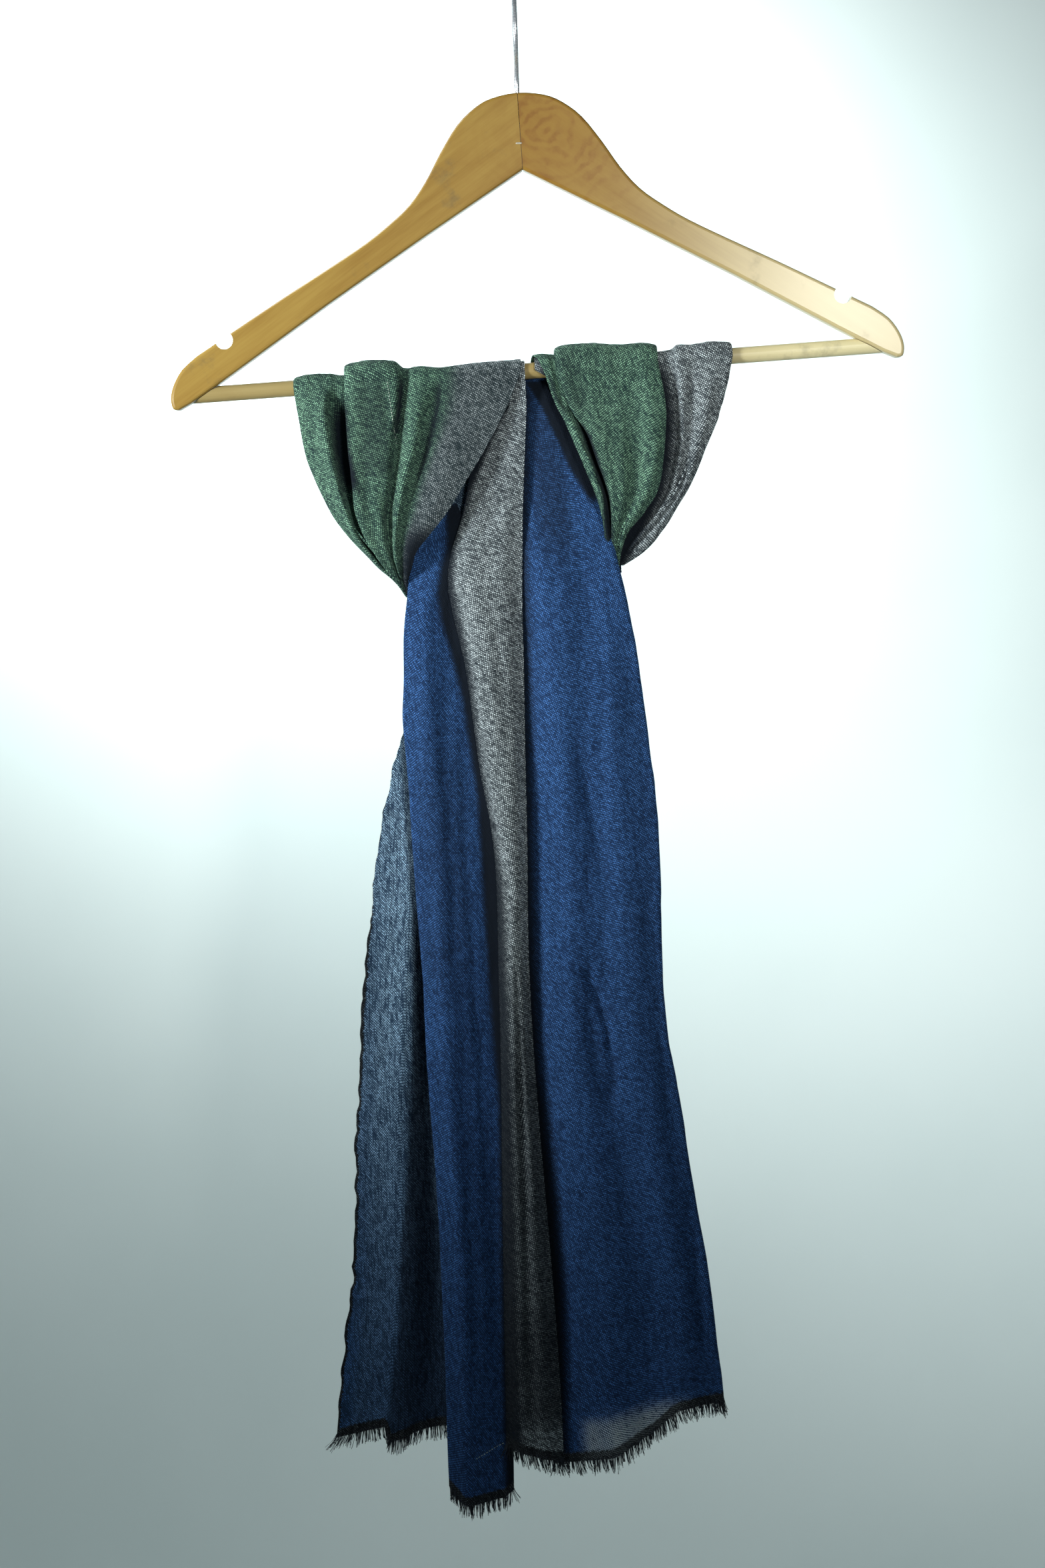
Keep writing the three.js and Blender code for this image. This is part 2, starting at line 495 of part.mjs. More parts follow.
function build() {
  const group = new THREE.Group();
  group.name = 'scarf_on_hanger';
  const blank = armsBlank();
  const greyTail = greyTailGrid();
  const strip = tailGrid(BLUE_STRIP, 12, 1);
  const panel = tailGrid(BLUE_PANEL, 16, 1);
  const backTail = tailGrid(BACK_TAIL, 18, 1);
  group.add(
    named('hanger_arm_left', arm(blank, -1), wood),
    named('hanger_arm_right', arm(blank, 1), wood),
    named('hanger_bar', bar(), wood),
    named('hanger_hook', hook(), chrome),
    named('scarf_swag_left', wall(swagGrid(LEFT_SWAG, 2, 1, 3, 6), CLOTH), green),
    named('scarf_swag_right_front', wall(swagGrid(GREEN_SWAG, 2, 1, 3, 6), CLOTH), green),
    named('scarf_swag_right_side', wall(swagGrid(GREY_SWAG, 2, 1, 3, 6), CLOTH), grey),
    named('scarf_tail_grey_fold', wall(greyTail, CLOTH), grey),
    named('scarf_tail_left_strip', wall(strip, CLOTH), blue),
    named('scarf_tail_right_panel', wall(panel, CLOTH), blue),
    named('scarf_tail_back', wall(backTail, CLOTH), dusk),
    named('scarf_loop_behind', wall(bandGrid(), CLOTH), blue),
    named('fringe_grey_fold', wall(fringeGrid(greyTail), FRINGE_WALL), black),
    named('fringe_left_strip', wall(fringeGrid(strip), FRINGE_WALL), black),
    named('fringe_right_panel', wall(fringeGrid(panel), FRINGE_WALL), black),
    named('fringe_back', wall(fringeGrid(backTail), FRINGE_WALL), black),
  );
  return group;
}

export default build();
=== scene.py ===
# %% [markdown]
# # A fringed scarf looped on a wooden hanger
# The scarf is one long oblong of soft two-tone cloth. It is doubled, laid over the hanger's bar
# from behind, and its two ends are drawn forward under the bar and out through the loop. This
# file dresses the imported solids: the hanger keeps its solids and gets wood and plated wire, and
# every stretch of cloth is made again as a thin, creased shell with its own weave and fringe.

# %% Load the frame
import math
import bmesh
import bpy
import numpy as np
from mathutils import Matrix


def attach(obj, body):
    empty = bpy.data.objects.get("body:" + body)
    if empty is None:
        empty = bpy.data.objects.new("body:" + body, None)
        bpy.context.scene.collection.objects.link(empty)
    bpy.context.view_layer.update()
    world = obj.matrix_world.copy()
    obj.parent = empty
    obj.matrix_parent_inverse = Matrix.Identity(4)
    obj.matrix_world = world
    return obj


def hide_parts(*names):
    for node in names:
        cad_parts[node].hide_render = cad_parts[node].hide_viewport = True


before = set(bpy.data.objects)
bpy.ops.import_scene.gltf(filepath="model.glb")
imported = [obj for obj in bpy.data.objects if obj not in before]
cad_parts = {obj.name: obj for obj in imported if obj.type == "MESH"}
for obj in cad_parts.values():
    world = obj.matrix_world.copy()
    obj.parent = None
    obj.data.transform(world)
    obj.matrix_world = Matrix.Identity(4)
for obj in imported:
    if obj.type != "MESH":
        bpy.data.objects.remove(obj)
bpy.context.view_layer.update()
print("solids to dress:", len(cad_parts))

# %% [markdown]
# ## Sizes
# Everything on the real object was sized in millimetres, so the tables below are in millimetres
# too, and one factor turns them into Blender's metres at the last moment. The bar slopes a
# little, because the hanger hangs low on its left.

# %% Sizes of the hanger and the cloth
MM = 0.001
CROWN_DROP = 56           # rail seat down to the top of the crown
BAR_DROP = 168            # crown down to the bar's axis
HANGER_TILT = math.radians(2.2)
ON_BAR = 6.1              # middle of cloth that rests on the bar, from the bar's axis
BACK_BELLY = 5            # how far a swag bellies out behind the bar
CLOTH = 0.9               # thickness of the cloth
FRINGE = 11.5             # reach of the fringe below the hem
STEP_ACROSS = 1.9         # about the spacing of the cloth's points across
STEP_DOWN = 2.6           # and down


def bar_height(x):
    """Height of the bar's axis at x."""
    return -CROWN_DROP - BAR_DROP / math.cos(HANGER_TILT) + x * math.tan(HANGER_TILT)


print("the bar's axis at its middle:", round(bar_height(0), 1), "mm")

# %% [markdown]
# ## The swags, measured
# These tables are the drape itself. A swag has fold lines: where each passes over the bar, how
# high it lifts there, and where it lies at each level below. `slant` is how far it drifts aside
# as it rounds the bar, `relief` how far it stands back from the level's depth, `amount` how much
# of that is left at each level, and `gather` is where the cloth comes together behind the bar.

# %% The swags
LEFT_SWAG = {
    "levels": [-246, -271, -289, -308, -322, -333, -343, -352, -361],
    "depth": [-11, -16, -20, -23, -23, -20, -14.5, -8.5, -4.4],
    "amount": [0.8, 1, 1, 1, 0.8, 0.6, 0.5, 0.3, 0.1],
    "gather": {"outer": {"x": -36, "z": -292}, "inner": {"x": -12.6, "z": -246}, "y": 7},
    "folds": [
        {"fold": "outer edge", "lift": 6.1, "top": -143.5, "relief": 8,
         "x": [-142.5, -138.7, -132, -123, -113.4, -104, -95, -86, -79.6]},
        {"fold": "outer ridge", "lift": 7.7, "top": -134, "relief": 2,
         "x": [-134.5, -131.5, -126.5, -119, -111, -102.6, -94.2, -85.5, -79.4]},
        {"fold": "slope", "lift": 7.6, "top": -123.5, "relief": -2.6,
         "x": [-125.5, -123, -118.6, -113.4, -108.2, -101.2, -93.4, -85.1, -79.4]},
        {"fold": "deep valley", "lift": 6.1, "top": -117, "relief": 8.5,
         "x": [-118.5, -116, -113.4, -110.2, -105.4, -99, -92.1, -84.6, -79.3]},
        {"fold": "tuck under the crisp ridge", "lift": 6.1, "top": -109.5, "relief": 9,
         "x": [-108.6, -107.6, -106.4, -105, -101.2, -96.2, -90.5, -84, -79.2]},
        {"fold": "crisp ridge", "lift": 11.4, "top": -112, "relief": -4.5,
         "x": [-111.8, -111.2, -109.8, -108, -103.6, -97.8, -91.4, -84.3, -79.2]},
        {"fold": "broad ridge", "lift": 13.4, "top": -98, "relief": -4.8,
         "x": [-98, -98.5, -99, -99.5, -97, -93.2, -88.8, -83.5, -79.1]},
        {"fold": "ridge shoulder", "lift": 12.4, "top": -83, "relief": -3.8,
         "x": [-84, -86.4, -88.5, -91, -91.2, -89.6, -86.8, -83, -79]},
        {"fold": "narrow crease", "lift": 7.4, "top": -76, "relief": 3.2,
         "x": [-78.4, -81.8, -84.8, -88, -89.2, -88.1, -85.8, -82.6, -79]},
        {"fold": "middle ridge", "lift": 7.4, "top": -66, "relief": -2.4,
         "x": [-68.5, -73, -78, -82.2, -84.6, -85, -84, -82.1, -78.9]},
        {"fold": "soft valley", "lift": 6.1, "top": -53, "relief": 3,
         "x": [-56.2, -63.6, -70.4, -76, -79.8, -81.4, -81.6, -81.2, -78.8]},
        {"fold": "inner ridge", "lift": 7.3, "top": -29, "relief": -1.5,
         "x": [-33, -46, -54, -62, -70.8, -76.4, -78.4, -79.8, -78.6]},
        {"fold": "inner edge", "lift": 7.3, "top": -3.5, "relief": -0.5,
         "x": [-13, -27, -38.6, -51, -62.6, -71.8, -75.4, -78.6, -78.4]},
    ],
}
GREEN_SWAG = {
    "levels": [-246, -262, -280, -300, -313, -325, -336, -347],
    "depth": [-14, -18, -21, -21.5, -18, -12.5, -7.6, -4.6],
    "amount": [0.3, 0.65, 1, 0.9, 0.6, 0.35, 0.2, 0.05],
    "gather": {"outer": {"x": 3.2, "z": -238}, "inner": {"x": 26, "z": -268}, "y": 10},
    "folds": [
        {"fold": "inner edge", "lift": 8.7, "top": 2.4, "slant": 8, "relief": 2.4,
         "x": [17.2, 24.8, 32, 38.6, 42, 44.6, 46.4, 50]},
        {"fold": "narrow ridge", "lift": 9.4, "top": 10, "slant": 4.5, "relief": -2.4,
         "x": [20.4, 28.6, 35.8, 42.6, 45, 46.6, 48, 50.6]},
        {"fold": "deep valley", "lift": 8.8, "top": 17, "slant": 2, "relief": 6.5,
         "x": [24.6, 33, 39.8, 46.2, 48.2, 48.8, 49.6, 51.1]},
        {"fold": "tuck under the lip", "lift": 9, "top": 20, "slant": 1, "relief": 6,
         "x": [27.8, 35.6, 42, 48, 49.4, 49.5, 49.9, 51.2]},
        {"fold": "lip", "lift": 13, "top": 18.6, "slant": 1, "relief": -2.6,
         "x": [26.2, 34.6, 41.4, 47.8, 49.2, 49.4, 49.9, 51.2]},
        {"fold": "broad ridge", "lift": 14.2, "top": 40, "slant": 0, "relief": -3.4,
         "x": [43.5, 48.5, 53.6, 56, 54.4, 51.9, 51.2, 51.6]},
        {"fold": "soft trough", "lift": 12, "top": 58, "slant": 0, "relief": 0.8,
         "x": [62, 65, 66.4, 64, 59.4, 54.6, 52.8, 52.1]},
        {"fold": "side ridge", "lift": 11.8, "top": 71, "slant": 0, "relief": -2.6,
         "x": [76, 77.2, 76.4, 71.4, 64.6, 57.2, 54.2, 52.6]},
        {"fold": "outer edge", "lift": 9.8, "top": 80.5, "slant": 0, "relief": 2,
         "x": [84.2, 84, 82.4, 78, 70, 59.8, 55.4, 53]},
    ],
}
GREY_SWAG = {
    "levels": [-246, -262, -280, -300, -313, -325, -336, -346],
    "depth": [-8, -10.5, -13, -14, -11.6, -7.6, -3.8, -1.4],
    "amount": [1, 1, 1, 1, 0.8, 0.5, 0.3, 0.1],
    "gather": {"outer": {"x": 4.5, "z": -240}, "inner": {"x": 40, "z": -296}, "y": 6.5},
    "folds": [
        {"fold": "hidden edge", "lift": 7.2, "top": 5, "relief": 0.5,
         "x": [40, 55, 62, 62, 58, 54.6, 53.4, 53.2]},
        {"fold": "hidden part", "lift": 6.1, "top": 45, "relief": 0.5,
         "x": [62, 70, 73, 69, 63, 57.6, 54.6, 53.5]},
        {"fold": "valley by the green edge", "lift": 6.1, "top": 85, "relief": 4,
         "x": [87, 88, 87, 82, 75, 65.2, 57.8, 53.9]},
        {"fold": "near ridge", "lift": 9, "top": 94, "relief": -2.2,
         "x": [95, 95, 92.5, 87.2, 79.6, 69.8, 60.6, 54.4]},
        {"fold": "trough", "lift": 8.4, "top": 103, "relief": 0.8,
         "x": [102.5, 101, 97, 90.5, 83, 73.8, 63, 54.9]},
        {"fold": "far ridge", "lift": 9.2, "top": 114, "relief": -1.6,
         "x": [112, 108.5, 102, 94, 86.5, 77.8, 66.4, 55.4]},
        {"fold": "outer edge", "lift": 8.2, "top": 126.5, "relief": 1.5,
         "x": [120.7, 115, 107, 97.4, 89.6, 81.8, 70.8, 56.2]},
    ],
}

print("fold lines on the left swag:", len(LEFT_SWAG["folds"]))

# %% [markdown]
# ## The hanging stretches, measured
# `sections` gives the two side edges and the depth at each level. `folds` says where across the
# stretch a fold lies at its top and at its foot, how far it stands back (or forward, when
# negative), how wide it is and between which levels. `hem` says how much the foot rises at places
# across the stretch. A table is easier to check when each number stands in a column, so a short
# helper gives the columns their names.

# %% The hanging stretches
def named(names, *rows):
    """Give the numbers of each row their names."""
    return [dict(zip(names.split(), row)) for row in rows]


EDGES = "z left right y"
FOLD = "top foot back width from to"
HEM = "at rise"

GREY_TAIL = {
    "sections": named(
        EDGES,
        (-246, -11.9, -0.9, -7.5), (-275, -33, -3, -9.5), (-310, -42.5, -5.5, -11.2),
        (-335, -50.8, -6.6, -11.6), (-352, -53.4, -7.4, -12.6), (-371, -51.2, -8, -13.3),
        (-410, -43.9, -8.4, -13.8), (-465, -38.4, -9.3, -14), (-525, -30.2, -10.4, -14),
        (-590, -30.4, -11.6, -13.8), (-660, -31.2, -10, -13.4), (-760, -33.5, -5.1, -13),
        (-860, -35.8, -0.8, -12.6), (-901, -36.6, -0.2, -12.4)),
    "folds": named(
        FOLD,
        (0.48, 0.5, -7, 0.42, -285, -930), (0, 0, 4.7, 0.16, -250, -920),
        (1, 1, 3.6, 0.18, -250, -920), (0.62, 0.46, 2.2, 0.11, -560, -920),
        (0.45, 0.7, 1.2, 0.14, -290, -470)),
    "hem": named(HEM, (0, -7.5), (0.5, -13), (1, -18.5)),
}
BLUE_STRIP = {
    "sections": named(
        EDGES,
        (-304, -58, -46, -6.2), (-320, -66, -42, -6.8), (-337, -75, -46, -7),
        (-361, -78.6, -48, -8.6), (-383, -81.9, -44, -9.9), (-410, -83.4, -39.5, -10.4),
        (-440, -84.9, -36.5, -10.6), (-480, -82.8, -32, -10.6), (-525, -82.2, -26.5, -10.6),
        (-575, -80.4, -26, -10.4), (-612, -78.9, -26.5, -10.2), (-660, -78.4, -27, -10),
        (-757, -75.1, -29.5, -9.6), (-857, -74.2, -31, -9.2), (-938, -75.1, -33, -9)),
    "folds": named(
        FOLD,
        (0.3, 0.3, -8, 0.24, -325, -950), (0.82, 0.86, 1.6, 0.16, -300, -950),
        (0.62, 0.6, -1, 0.12, -420, -950)),
    "hem": named(HEM, (0, 4), (0.27, -7.5), (0.85, -6.5), (1, -1)),
}
BLUE_PANEL = {
    "sections": named(
        EDGES,
        (-231.5, -3.5, 10, 2.2), (-246, -5, 19, -2.4), (-262, -6.5, 27, -4.4),
        (-280, -8, 37, -5.8), (-300, -9.5, 43, -7), (-313, -11, 45, -8), (-325, -12, 47, -9.4),
        (-336, -12.5, 49.4, -10.8), (-348, -13, 51.8, -11.4), (-367, -13.5, 55.8, -11.6),
        (-392, -14, 60.5, -11.6), (-426, -14.5, 64.5, -11.4), (-491, -15.5, 71.2, -11),
        (-531, -16, 72.5, -10.8), (-572, -17, 72.2, -10.6), (-613, -17.5, 72.4, -10.4),
        (-645, -17, 74.8, -10.2), (-678, -16, 80.1, -10), (-743, -12.5, 88.5, -9.8),
        (-823, -9, 98.6, -9.4), (-911, -6.5, 104.1, -9)),
    "folds": named(
        FOLD,
        (0, 0, 4.6, 0.22, -240, -930), (0.99, 0.99, 2.6, 0.14, -345, -930),
        (0.46, 0.6, 1.3, 0.08, -440, -545), (0.42, 0.58, 2.2, 0.07, -590, -700),
        (0.75, 0.78, -5, 0.15, -350, -930), (0.36, 0.36, -8, 0.2, -290, -930)),
    "hem": named(HEM, (0, -13), (0.35, -6), (0.59, 9), (0.73, 22.5), (0.85, 25), (1, 25.5)),
}
BACK_TAIL = {
    "sections": named(
        EDGES,
        (-236, -30, 4, 4.4), (-255, -36, 12, 3.2), (-290, -46, 24, 1.4), (-330, -58, 36, -0.6),
        (-365, -64, 46, -0.4), (-410, -74, 53, 1.6), (-450, -87.5, 58, 3), (-483, -96.9, 61, 3.6),
        (-524, -105.8, 63, 4), (-564, -111.2, 63.5, 4.2), (-601, -116.2, 63.5, 4.4),
        (-655, -121.4, 66, 4.6), (-702, -126.4, 70, 4.8), (-783, -130.6, 78, 5),
        (-844, -140.2, 84, 5), (-902, -147.4, 88, 5)),
    "folds": named(
        FOLD,
        (0.17, 0.16, -5, 0.07, -450, -930), (0.25, 0.26, 9, 0.08, -400, -930),
        (0.45, 0.44, -4, 0.09, -300, -930), (0.62, 0.64, 9, 0.1, -330, -930),
        (0.85, 0.84, -4, 0.1, -330, -930)),
    "hem": named(HEM, (0, -3), (0.14, 4.5), (0.15, -6), (0.29, 0), (0.6, 8), (1, 16)),
}
# The loop of cloth behind them all, from swag tip to swag tip.
BAND = named(
    "x top foot y",
    (-81, -347, -357.5, -3.4), (-70, -334, -360, 5), (-50, -326, -364, 7.6),
    (-15, -324, -366, 8.6), (20, -324, -362, 8.2), (42, -328, -356, 5.6), (55, -338, -350, 1.2))
print("sections:", len(BLUE_PANEL["sections"]))

# %% [markdown]
# ## Reading a table as a smooth curve
# A maker marks a fold at a few heights and lets the cloth run smoothly between the marks. This
# reader does the same: a Catmull-Rom curve that passes through every value of a column. NumPy
# lets one call read a whole row of cloth at once.

# %% Smooth readers
def through(values, t):
    """Read a smooth curve through `values` at t steps along them."""
    values, t = np.asarray(values, float), np.asarray(t, float)
    last = len(values) - 1
    i = np.clip(np.floor(t).astype(int), 0, last - 1)
    f = t - i
    b, c = values[i], values[i + 1]
    m0 = np.where(i > 0, (c - values[np.maximum(i - 1, 0)]) / 2, c - b)
    m1 = np.where(i < last - 1, (values[np.minimum(i + 2, last)] - b) / 2, c - b)
    return b + f * (m0 + f * (3 * (c - b) - 2 * m0 - m1 + f * (2 * (b - c) + m0 + m1)))


def smooth(t):
    """Ease from 0 to 1."""
    t = np.clip(t, 0, 1)
    return t * t * (3 - 2 * t)


def ripple(u, v, across, down, seed):
    """Seeded smooth noise from -1 to 1, one bump for each `across` by `down` millimetres."""
    size = 64
    lattice = np.random.default_rng(seed).uniform(-1, 1, (size, size))
    x, y = np.asarray(u) / across, np.asarray(v) / down
    i, j = np.floor(x).astype(int), np.floor(y).astype(int)
    fx, fy = smooth(x - i), smooth(y - j)

    def corner(a, b):
        return lattice[(i + a) % size, (j + b) % size]

    low = corner(0, 0) * (1 - fx) + corner(1, 0) * fx
    high = corner(0, 1) * (1 - fx) + corner(1, 1) * fx
    return low * (1 - fy) + high * fy


print("half way through 0, 1, 0:", float(through([0, 1, 0], 0.5)))

# %% [markdown]
# ## Laying a stretch of cloth
# A stretch is a grid of points: rows go down the cloth and columns go across it. A swag is read
# from its fold lines, from where it is gathered behind the bar, up over the bar and down to its
# tip. A hanging stretch is read from its side edges, and its folds are soft bumps across it.

# %% Grids of cloth
ROWS_BEHIND = 17          # rows of a swag from its gather up to the bar
ROWS_ROUND = 17           # and rows over the bar


def swag_grid(swag, columns, trim=(0.0, 0.0)):
    """A swag's middle surface: rows of points from behind the bar to the tip."""
    folds, levels, depth, amount = (swag[k] for k in ("folds", "levels", "depth", "amount"))
    t = np.linspace(trim[0], len(folds) - 1 - trim[1], columns)
    top, lift, relief, slant = (
        through([f.get(k, 0) for f in folds], t) for k in ("top", "lift", "relief", "slant"))
    share = t / (len(folds) - 1)
    outer, inner = swag["gather"]["outer"], swag["gather"]["inner"]
    ends = {k: (1 - share) * outer[k] + share * inner[k] for k in "xz"}
    bar = bar_height(top)
    rows = []
    for s in np.linspace(0, 1, ROWS_BEHIND + 1)[:-1]:
        y = swag["gather"]["y"] * (1 - s) + lift * s + BACK_BELLY * math.sin(math.pi * s)
        run = 1 - (1 - s) ** 2
        rows.append((ends["x"] + (top - ends["x"]) * run, y, ends["z"] + (bar - ends["z"]) * s ** 1.4))
    for turn in np.linspace(0, math.pi, ROWS_ROUND):
        across = top + slant * (turn / math.pi) ** 2
        rows.append((across, lift * math.cos(turn), bar + lift * math.sin(turn)))
    lower = [through([f["x"][i] for f in folds], t) for i in range(len(levels))]
    marks = np.array([top + slant] + lower)
    heights = np.array([bar] + [np.full(columns, float(z)) for z in levels])
    depths = np.array([-lift] + [depth[i] + relief * amount[i] for i in range(len(levels))])
    count = int((heights[0].max() - levels[-1]) / (0.8 * STEP_DOWN))
    for s in np.linspace(0, len(levels), count)[1:]:
        rows.append((through(marks, s), through(depths, s), through(heights, s)))
    return np.array([np.stack(row, axis=1) for row in rows])


HEM_RUN = 70              # how far above the foot the hem's own line begins to tell


def tail_grid(tail, columns, trim=(0.0, 0.0)):
    """A hanging stretch's middle surface: rows of points from its top to its hem."""
    sections, folds, hem = tail["sections"], tail["folds"], tail["hem"]
    u = np.linspace(trim[0], 1 - trim[1], columns)
    foot = sections[-1]["z"]
    rise = np.interp(u, [h["at"] for h in hem], [h["rise"] for h in hem])
    count = int((sections[0]["z"] - foot) / STEP_DOWN)
    rows = []
    for t in np.linspace(0, len(sections) - 1, count):
        z, left, right, y = (float(through([s[k] for s in sections], t)) for k in EDGES.split())
        back = 0 * u
        for f in folds:
            v = (f["from"] - z) / (f["from"] - f["to"])
            place = (u - (f["top"] + (f["foot"] - f["top"]) * min(1, max(0, v)))) / f["width"]
            fade = smooth(v * 6) * (smooth((1 - v) * 6) if f["to"] > foot else 1)
            back = back + f["back"] * np.exp(-place * place) * fade
        lifted = z + rise * smooth((foot + HEM_RUN - z) / HEM_RUN)
        rows.append(np.stack([left + (right - left) * u, y + back, lifted + 0 * u], axis=1))
    return np.array(rows)


def tucked(grid):
    """The same stretch with rows added at its top that go back up behind the bar."""
    x, z = grid[0, :, 0], grid[0, :, 2]
    rows = [(x, y + 0 * x, z + up) for y, up in ((7.6, 9), (6.8, 5), (5, 2))]
    return np.concatenate([np.array([np.stack(row, axis=1) for row in rows]), grid])


def over_bar(grid):
    """The same stretch with rows added that take it up and over the bar."""
    x = grid[0, :, 0] - 0.3
    bar = bar_height(x)
    rows = [(x, ON_BAR + 0 * x, bar - drop) for drop in (26, 21, 16, 11, 6)]
    for turn in np.linspace(0, math.pi, 15):
        rows.append((x, ON_BAR * math.cos(turn) + 0 * x, bar + ON_BAR * math.sin(turn)))
    for share in (0.25, 0.5, 0.75):
        top = np.stack([x, -ON_BAR + 0 * x, bar], axis=1)
        rows.append(tuple((top + (grid[0] - top) * share).T))
    return np.concatenate([np.array([np.stack(row, axis=1) for row in rows]), grid])


def loop_grid(marks):
    """The foot of the loop, a gathered band from swag tip to swag tip."""
    rows = []
    u = np.linspace(0, 1, 26)
    for t in np.linspace(0, len(marks) - 1, 70):
        x, top, foot, y = (float(through([m[k] for m in marks], t)) for k in "x top foot y".split())
        pleats = 1.6 * np.sin(2 * math.pi * u) + 0.9 * np.sin(9 * math.pi * u)
        rows.append(np.stack([x + 0 * u, y + pleats, foot + (top - foot) * u], axis=1))
    return np.array(rows)


print("grid readers ready")

# %% [markdown]
# ## Creases, crinkles and rolled edges
# Cloth that has been folded away and hung up keeps creases. Each large one is placed as a
# soft trough or ridge from one point to another. Over them lies the fine vertical crinkle of
# a loosely spun yarn. Where the cloth turns back on itself its edge is a soft roll, not a cut.

# %% Shaping helpers
def normals(grid):
    """Unit normals of a grid, pointing to the cloth's back."""
    across = np.gradient(grid, axis=1)
    down = np.gradient(grid, axis=0)
    n = np.cross(across, down)
    return n / np.maximum(np.linalg.norm(n, axis=2, keepdims=True), 1e-9)


def lengths(grid):
    """How far each point lies across the cloth and down it, in millimetres."""
    across = np.zeros(grid.shape[:2])
    across[:, 1:] = np.cumsum(np.linalg.norm(np.diff(grid, axis=1), axis=2), axis=1)
    down = np.zeros(grid.shape[:2])
    down[1:] = np.cumsum(np.linalg.norm(np.diff(grid, axis=0), axis=2), axis=0)
    return across, down


def crease(grid, creases):
    """Push the cloth in or out along each crease, where it lies in front of the bar."""
    push = np.zeros(grid.shape[:2])
    front = grid[:, :, 1] < 0.5
    for c in creases:
        a, b = np.array([c["x0"], c["z0"]]), np.array([c["x1"], c["z1"]])
        flat = grid[:, :, [0, 2]] - a
        span = b - a
        along = (flat @ span) / (span @ span)
        aside = np.abs((flat @ np.array([-span[1], span[0]])) / np.linalg.norm(span))
        ends = smooth((along + 0.12) / 0.3) * smooth((1.12 - along) / 0.3)
        push += c["depth"] * np.exp(-(aside / c["width"]) ** 2) * ends
    return grid + normals(grid) * (push * front)[:, :, None]


def crinkle(grid, seed, amount=0.3, ribs=0.0):
    """Fine uneven crinkle, tight across the cloth and long down it, and long thin ribs."""
    across, down = lengths(grid)
    fine = ripple(across, down, 4.2, 17, seed) + 0.6 * ripple(across, down, 2.4, 9, seed + 1)
    broad = ripple(across, down, 16, 46, seed + 2)
    long = ripple(across, down, 5.2, 120, seed + 3)
    return grid + normals(grid) * (amount * fine + 2.0 * amount * broad + ribs * long)[:, :, None]


def rolled(grid, side, radius, back):
    """Turn an edge over to the back: half a roll, then a strip that runs back behind."""
    edge, inside = (grid[:, 0], grid[:, 3]) if side == "left" else (grid[:, -1], grid[:, -4])
    out = edge - inside
    out /= np.maximum(np.linalg.norm(out, axis=1, keepdims=True), 1e-9)
    behind = normals(grid)[:, 0 if side == "left" else -1]
    wide = np.linalg.norm(grid[:, -1] - grid[:, 0], axis=1)[:, None]
    curl, reach = np.minimum(radius, 0.12 * wide), np.minimum(back, 0.3 * wide)
    extra = []
    for turn in np.linspace(0, math.pi, 7)[1:]:
        extra.append(edge + curl * (out * math.sin(turn) + behind * (1 - math.cos(turn))))
    for run in np.linspace(0, 1, 5)[1:]:
        extra.append(edge + behind * 2 * curl * (1 - 0.15 * run) - out * reach * run)
    extra = np.stack(extra, axis=1)
    if side == "left":
        return np.concatenate([extra[:, ::-1], grid], axis=1)
    return np.concatenate([grid, extra], axis=1)


def scalloped(grid, depth, pitch, seed):
    """Let the left edge wander in small uneven scallops."""
    across, down = lengths(grid)
    wave = ripple(0 * down, down, 1, pitch, seed)
    wave = wave + 0.5 * ripple(0 * down, down, 1, pitch / 2.3, seed + 1)
    moved = grid.copy()
    moved[:, :, 0] += depth * wave * np.exp(-across / 7)
    moved[:, :, 1] += 0.8 * depth * wave * np.exp(-across / 5)
    return moved


print("shaping helpers ready")

# %% [markdown]
# ## Hollows and shade
# Hardly any light gets in between folds and stretches that lie close together. Lamps and the
# room's own light alone leave such places too bright, so each point of the cloth carries a
# number for it: how far it lies behind its neighbours, or the shade that a table puts there.

# %% Shade helper
HOLLOW_WIDTH = 11         # a hollow is what lies behind the average over this width
HOLLOW_GAIN = 0.2         # and it is quite dark when it lies 5 mm behind
HOLLOW_RUN = 75           # hollows get shallower over this much of a stretch's foot


# A zone says where a stretch lies in another's shade. Its `line` is pairs of height and place
# down the cloth, and the zone is what lies left or right of it, or within `half` of it. `soft`
# is the width of its edge and `amount` its strength. It runs from `top` to `foot`, fades there
# over `fade` and `foot_fade`, and leaves out what stands further back than `reach`.
def deep(grid, zones):
    """How far light fails to reach, 0 to 1: hollows between ridges, and the zones of a table."""
    depth, height = grid[:, :, 1], grid[:, :, 2]
    half = max(2, int(HOLLOW_WIDTH / STEP_ACROSS / 2))
    padded = np.pad(depth, ((0, 0), (half, half)), mode="edge")
    broad = sum(padded[:, k:k + depth.shape[1]] for k in range(2 * half + 1)) / (2 * half + 1)
    above_foot = smooth((height - height.min()) / HOLLOW_RUN)
    hollow = np.clip((depth - broad) * HOLLOW_GAIN, 0, 1) * (depth < 0.5)
    shade = 0.85 * hollow * (0.05 + 0.95 * above_foot)
    for zone in zones:
        line = np.array(zone["line"])[::-1]
        limit = np.interp(height, line[:, 0], line[:, 1])
        aside = grid[:, :, 0] - limit
        if zone["side"] == "band":
            aside = zone["half"] - np.abs(aside)
        elif zone["side"] == "left":
            aside = -aside
        top, foot = zone.get("top", 0), zone.get("foot", -2000)
        fade, foot_fade = zone.get("fade", 12), zone.get("foot_fade", 12)
        inside = smooth((top - height) / fade) * smooth((height - foot) / foot_fade)
        seen = depth < zone.get("reach", 3)
        part = zone["amount"] * smooth(aside / zone["soft"] + 0.5) * inside * seen
        shade = np.maximum(shade, part)
    return np.clip(shade, 0, 1)


print("a hollow is measured over", HOLLOW_WIDTH, "mm")

